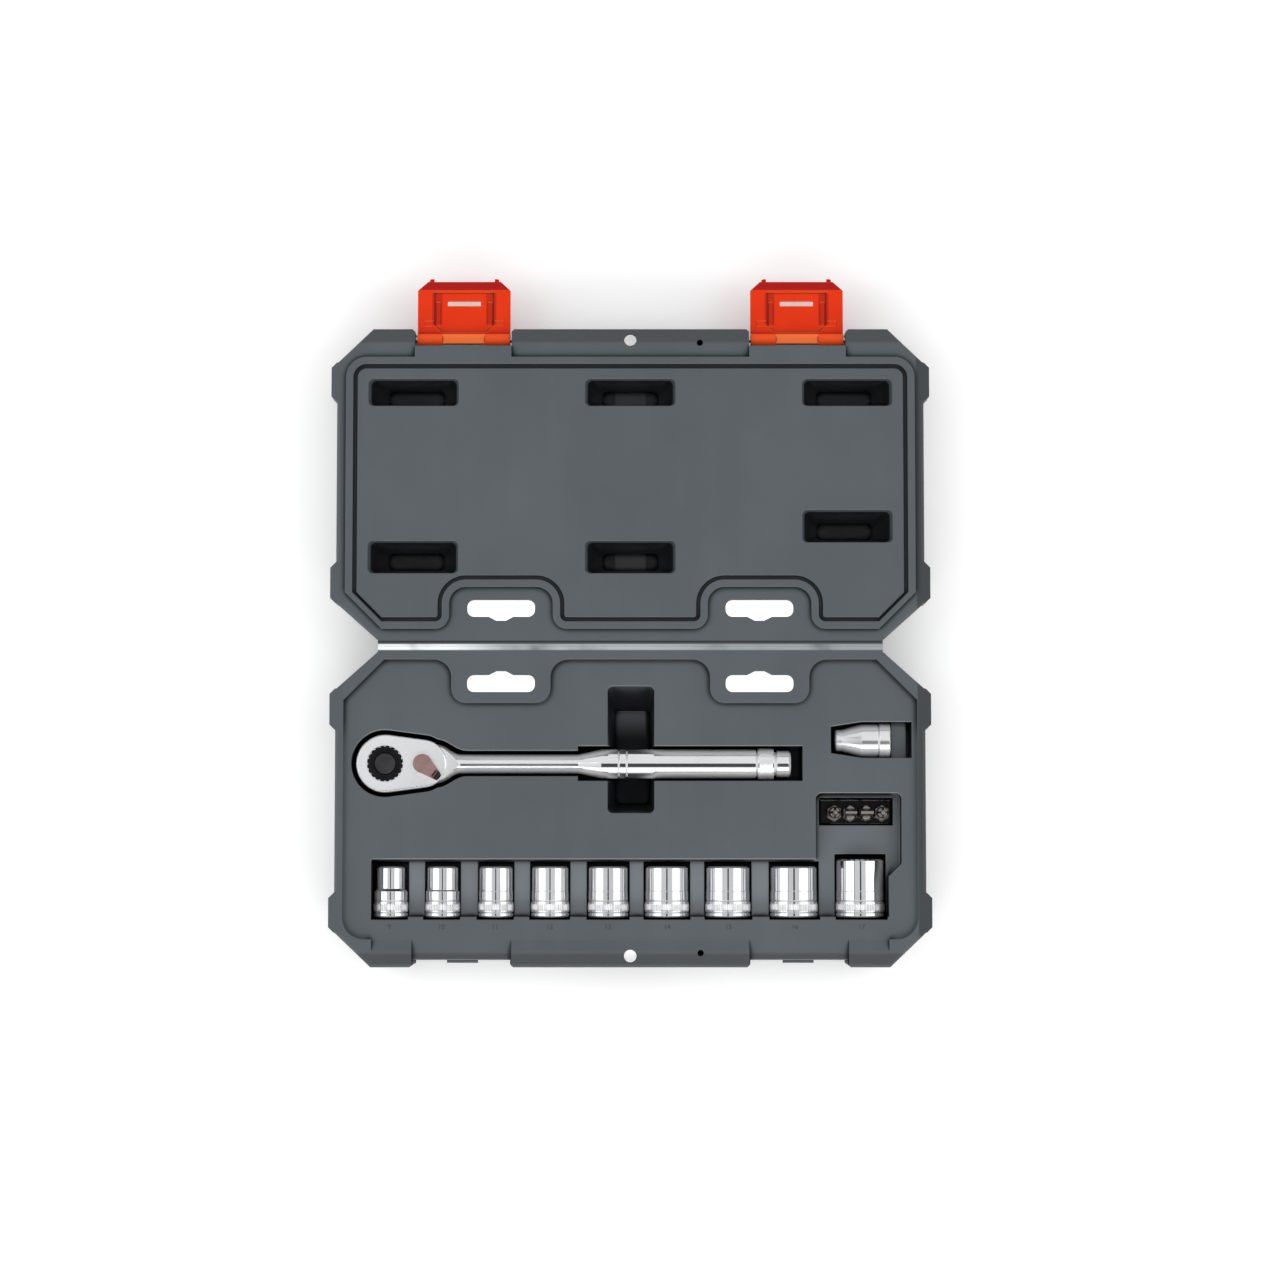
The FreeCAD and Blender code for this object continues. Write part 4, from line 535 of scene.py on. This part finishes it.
def number(text, place, finish, body):
    """A raised numeral on a level face."""
    curve = bpy.data.curves.new("numeral", "FONT")
    curve.body = text
    curve.align_x = "CENTER"
    curve.size = NUMERAL_SIZE
    curve.extrude = NUMERAL_HEIGHT
    letter = bpy.data.objects.new("numeral", curve)
    bpy.context.scene.collection.objects.link(letter)
    shape = letter.evaluated_get(bpy.context.evaluated_depsgraph_get()).to_mesh()
    corners = [Vector(place) + vertex.co for vertex in shape.vertices]
    faces = [tuple(face.vertices) for face in shape.polygons]
    bpy.data.objects.remove(letter)
    piece("size_mark_" + text, corners, faces, finish, body)


knurl("grip_knurl", "ratchet", chrome, GRIP_RING, AXIS_X, length=6.5,
      inner=7.3, outer=7.5, depth=0.1, rows=16, pitch=0.8, crossed=True)
for name in sorted(n for n in nodes if n.startswith("socket_")):
    low, high = (Vector(corner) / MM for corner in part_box(name))
    radius = (high.z - low.z) / 2
    middle = (low + high) / 2
    start = Vector((middle.x, low.y + SOCKET_KNURL_FROM_END, middle.z))
    knurl(name + "_knurl", name[:-2], socket_chrome, start, AXIS_Y, length=4.4,
          inner=radius - 0.1, outer=radius + 0.15, depth=0.2, rows=4, pitch=0.9, crossed=False)
    number(str(int(name[7:9])), (middle.x, low.y - NUMERAL_FROM_SOCKET, DECK), mark_mat, "base")

for hand, side in (("l", -1), ("r", 1)):
    for edge in (-1, 1):
        label, latch = "%s%d" % (hand, edge > 0), "latch_" + hand
        rail = LATCH_FIELD + AXIS_X * (side * LATCH_X + edge * RAIL_FROM_MIDDLE)
        foot = rail + Vector((edge * FOOT_FROM_RAIL, -FOOT_FROM_RAIL, LATCH_FIELD_DEPTH))
        bar("latch_rail_" + label, latch, latch_mat, rail, math.pi / 2,
            length=13.0, width=2.4, height=0.65)
        bar("latch_foot_" + label, latch, latch_mat, foot, 0.0, length=5.0, width=3.4, height=0.2)

hub = HEAD + AXIS_Z * HUB_LIFT
hub_top = hub + AXIS_Z * HUB_NOTCH_HEIGHT
notch_turn = 2 * math.pi / HUB_STEPS_PER_NOTCH
notched = [HUB_NOTCH_RADIUS - HUB_NOTCH_DEPTH * max(0.0, math.cos(i * notch_turn))
           for i in range(HUB_STEPS_PER_NOTCH * HUB_NOTCHES)]
plain_rim = [HUB_RIM_RADIUS] * len(notched)
piece("hub_notches", *closed_rings([
    ring(hub, AXIS_Z, plain_rim), ring(hub_top, AXIS_Z, plain_rim),
    ring(hub_top, AXIS_Z, notched), ring(hub, AXIS_Z, notched)]), chrome, "drive")
piece("hub_collar", *closed_rings([
    ring(hub + AXIS_Z * lift, AXIS_Z, [radius] * COLLAR_STEPS) for radius, lift in COLLAR_SECTION]),
      black_oxide, "drive")
for i, reach in enumerate(LEVER_RIDGES):
    bar("lever_ridge_%d" % (i + 1), "lever", black_oxide, LEVER + reach * LEVER_WAY,
        LEVER_ANGLE + math.pi / 2, length=3.4, width=0.7, height=0.25)


# Floor, light and camera

FLOOR_HALF = 6.0
FLOOR_DROP = 0.6
FLOOR_GLOW = 0.15
FLOOR_COVER_REACH = 80.0
FLOOR_COVER_OPEN = (0.22, 0.44)
floor_mesh = bpy.data.meshes.new("floor")
floor_mesh.from_pydata([(-FLOOR_HALF, -FLOOR_HALF, 0), (FLOOR_HALF, -FLOOR_HALF, 0),
                        (FLOOR_HALF, FLOOR_HALF, 0), (-FLOOR_HALF, FLOOR_HALF, 0)], [], [(0, 1, 2, 3)])
floor = bpy.data.objects.new("floor", floor_mesh)
floor.location.z = -FLOOR_DROP * MM
bpy.context.scene.collection.objects.link(floor)
floor_mat, fg = material("pale_studio_floor")
floor_x, floor_y, _ = fg.axes("Object")
slot_row = fg.window(fg.math("ABSOLUTE", floor_x), SLOT_X - SLOT_HALF[0], SLOT_X + SLOT_HALF[0], 1.0)
lock_row = fg.window(floor_x, -LOCK_HALF, LOCK_HALF, 0.5)
# Painted light: the floor glows white under the hang slots and lock holes, only where the case covers
# the floor.
covered = fg.inverse(fg.rise(fg.hollow(FLOOR_COVER_REACH, alone=False), *FLOOR_COVER_OPEN))
glow = FLOOR_GLOW
for row, places, half in ((slot_row, SLOT_Y, SLOT_HALF[1]), (lock_row, LOCK_Y, LOCK_HALF)):
    for y in places:
        patch = fg.both(covered, row, fg.window(floor_y, y - half, y + half, 1.0))
        glow = fg.math("ADD", glow, patch)
fg.finish(Base_Color=grey(0.93), Roughness=0.85, Specular_IOR_Level=0.1,
          Emission_Color=grey(1.0), Emission_Strength=glow)
floor_mesh.materials.append(floor_mat)

# An even white world; mirrors also see dark strips in it, which draw the streaks on the chrome.
WORLD_LIGHT = 0.77
MIRRORED_LIGHT = 0.88
STRIP_DARK = 0.02
BESIDE_SHARE = 0.7
world = bpy.data.worlds.new("studio")
bpy.context.scene.world = world
wg = Graph(world)
ray_x, ray_y, ray_z = wg.axes("Generated")
height = wg.math("MAXIMUM", ray_z, 0.02)
across = wg.math("DIVIDE", ray_x, height)
along = wg.math("DIVIDE", ray_y, height)
overhead = wg.both(wg.window(across, -0.05, 0.05, 0.025), wg.window(along, -0.08, 0.01, 0.03))
before = wg.both(wg.window(across, -0.16, 0.16, 0.03), wg.window(along, -0.50, -0.12, 0.04))
beside = wg.both(wg.window(wg.math("ABSOLUTE", across), 0.56, 0.66, 0.05),
                 wg.window(along, -0.75, 0.5, 0.1))
strips = wg.math("MAXIMUM", wg.math("MAXIMUM", overhead, before), wg.scaled(beside, BESIDE_SHARE))
plain = wg.add("Background", {"Color": grey(1.0), "Strength": WORLD_LIGHT})
mirrored = wg.add("Background", {"Color": wg.mix(strips, grey(1.0), grey(STRIP_DARK)),
                                 "Strength": MIRRORED_LIGHT})
seen = wg.add("MixShader", {"Fac": wg.add("LightPath").outputs["Is Glossy Ray"]})
wg.tree.links.new(plain.outputs[0], seen.inputs[1])
wg.tree.links.new(mirrored.outputs[0], seen.inputs[2])
wg.tree.links.new(seen.outputs[0], wg.add("OutputWorld").inputs["Surface"])

MIDDLE = Vector((0.0047, 0.0815, 0.03))


def softbox(name, place, size, power):
    """A rectangular lamp, in metres and watts, aimed at the middle of the set."""
    light = bpy.data.lights.new(name, "AREA")
    light.shape = "RECTANGLE"
    light.size, light.size_y = size
    light.energy = power
    lamp = bpy.data.objects.new(name, light)
    lamp.location = place
    lamp.rotation_euler = (MIDDLE - Vector(place)).to_track_quat("-Z", "Y").to_euler()
    bpy.context.scene.collection.objects.link(lamp)


softbox("key_front", (0.0, -1.2, 1.0), (2.0, 0.9), 10.0)
softbox("fill_left", (-1.3, 0.2, 1.1), (0.9, 1.4), 5.0)
softbox("fill_right", (1.3, 0.2, 1.1), (0.9, 1.4), 5.0)

TILT = math.radians(4.0)
DISTANCE = 1.6
VIEW_WIDTH = 0.6186
SENSOR = 36.0
camera_data = bpy.data.cameras.new("camera")
camera_data.sensor_width = SENSOR
camera_data.lens = SENSOR * DISTANCE / VIEW_WIDTH
camera = bpy.data.objects.new("camera", camera_data)
camera.location = MIDDLE + DISTANCE * Vector((0, -math.sin(TILT), math.cos(TILT)))
camera.rotation_euler = (TILT, 0, 0)
bpy.context.scene.collection.objects.link(camera)
bpy.context.scene.camera = camera
bpy.context.scene.view_settings.view_transform = "Standard"
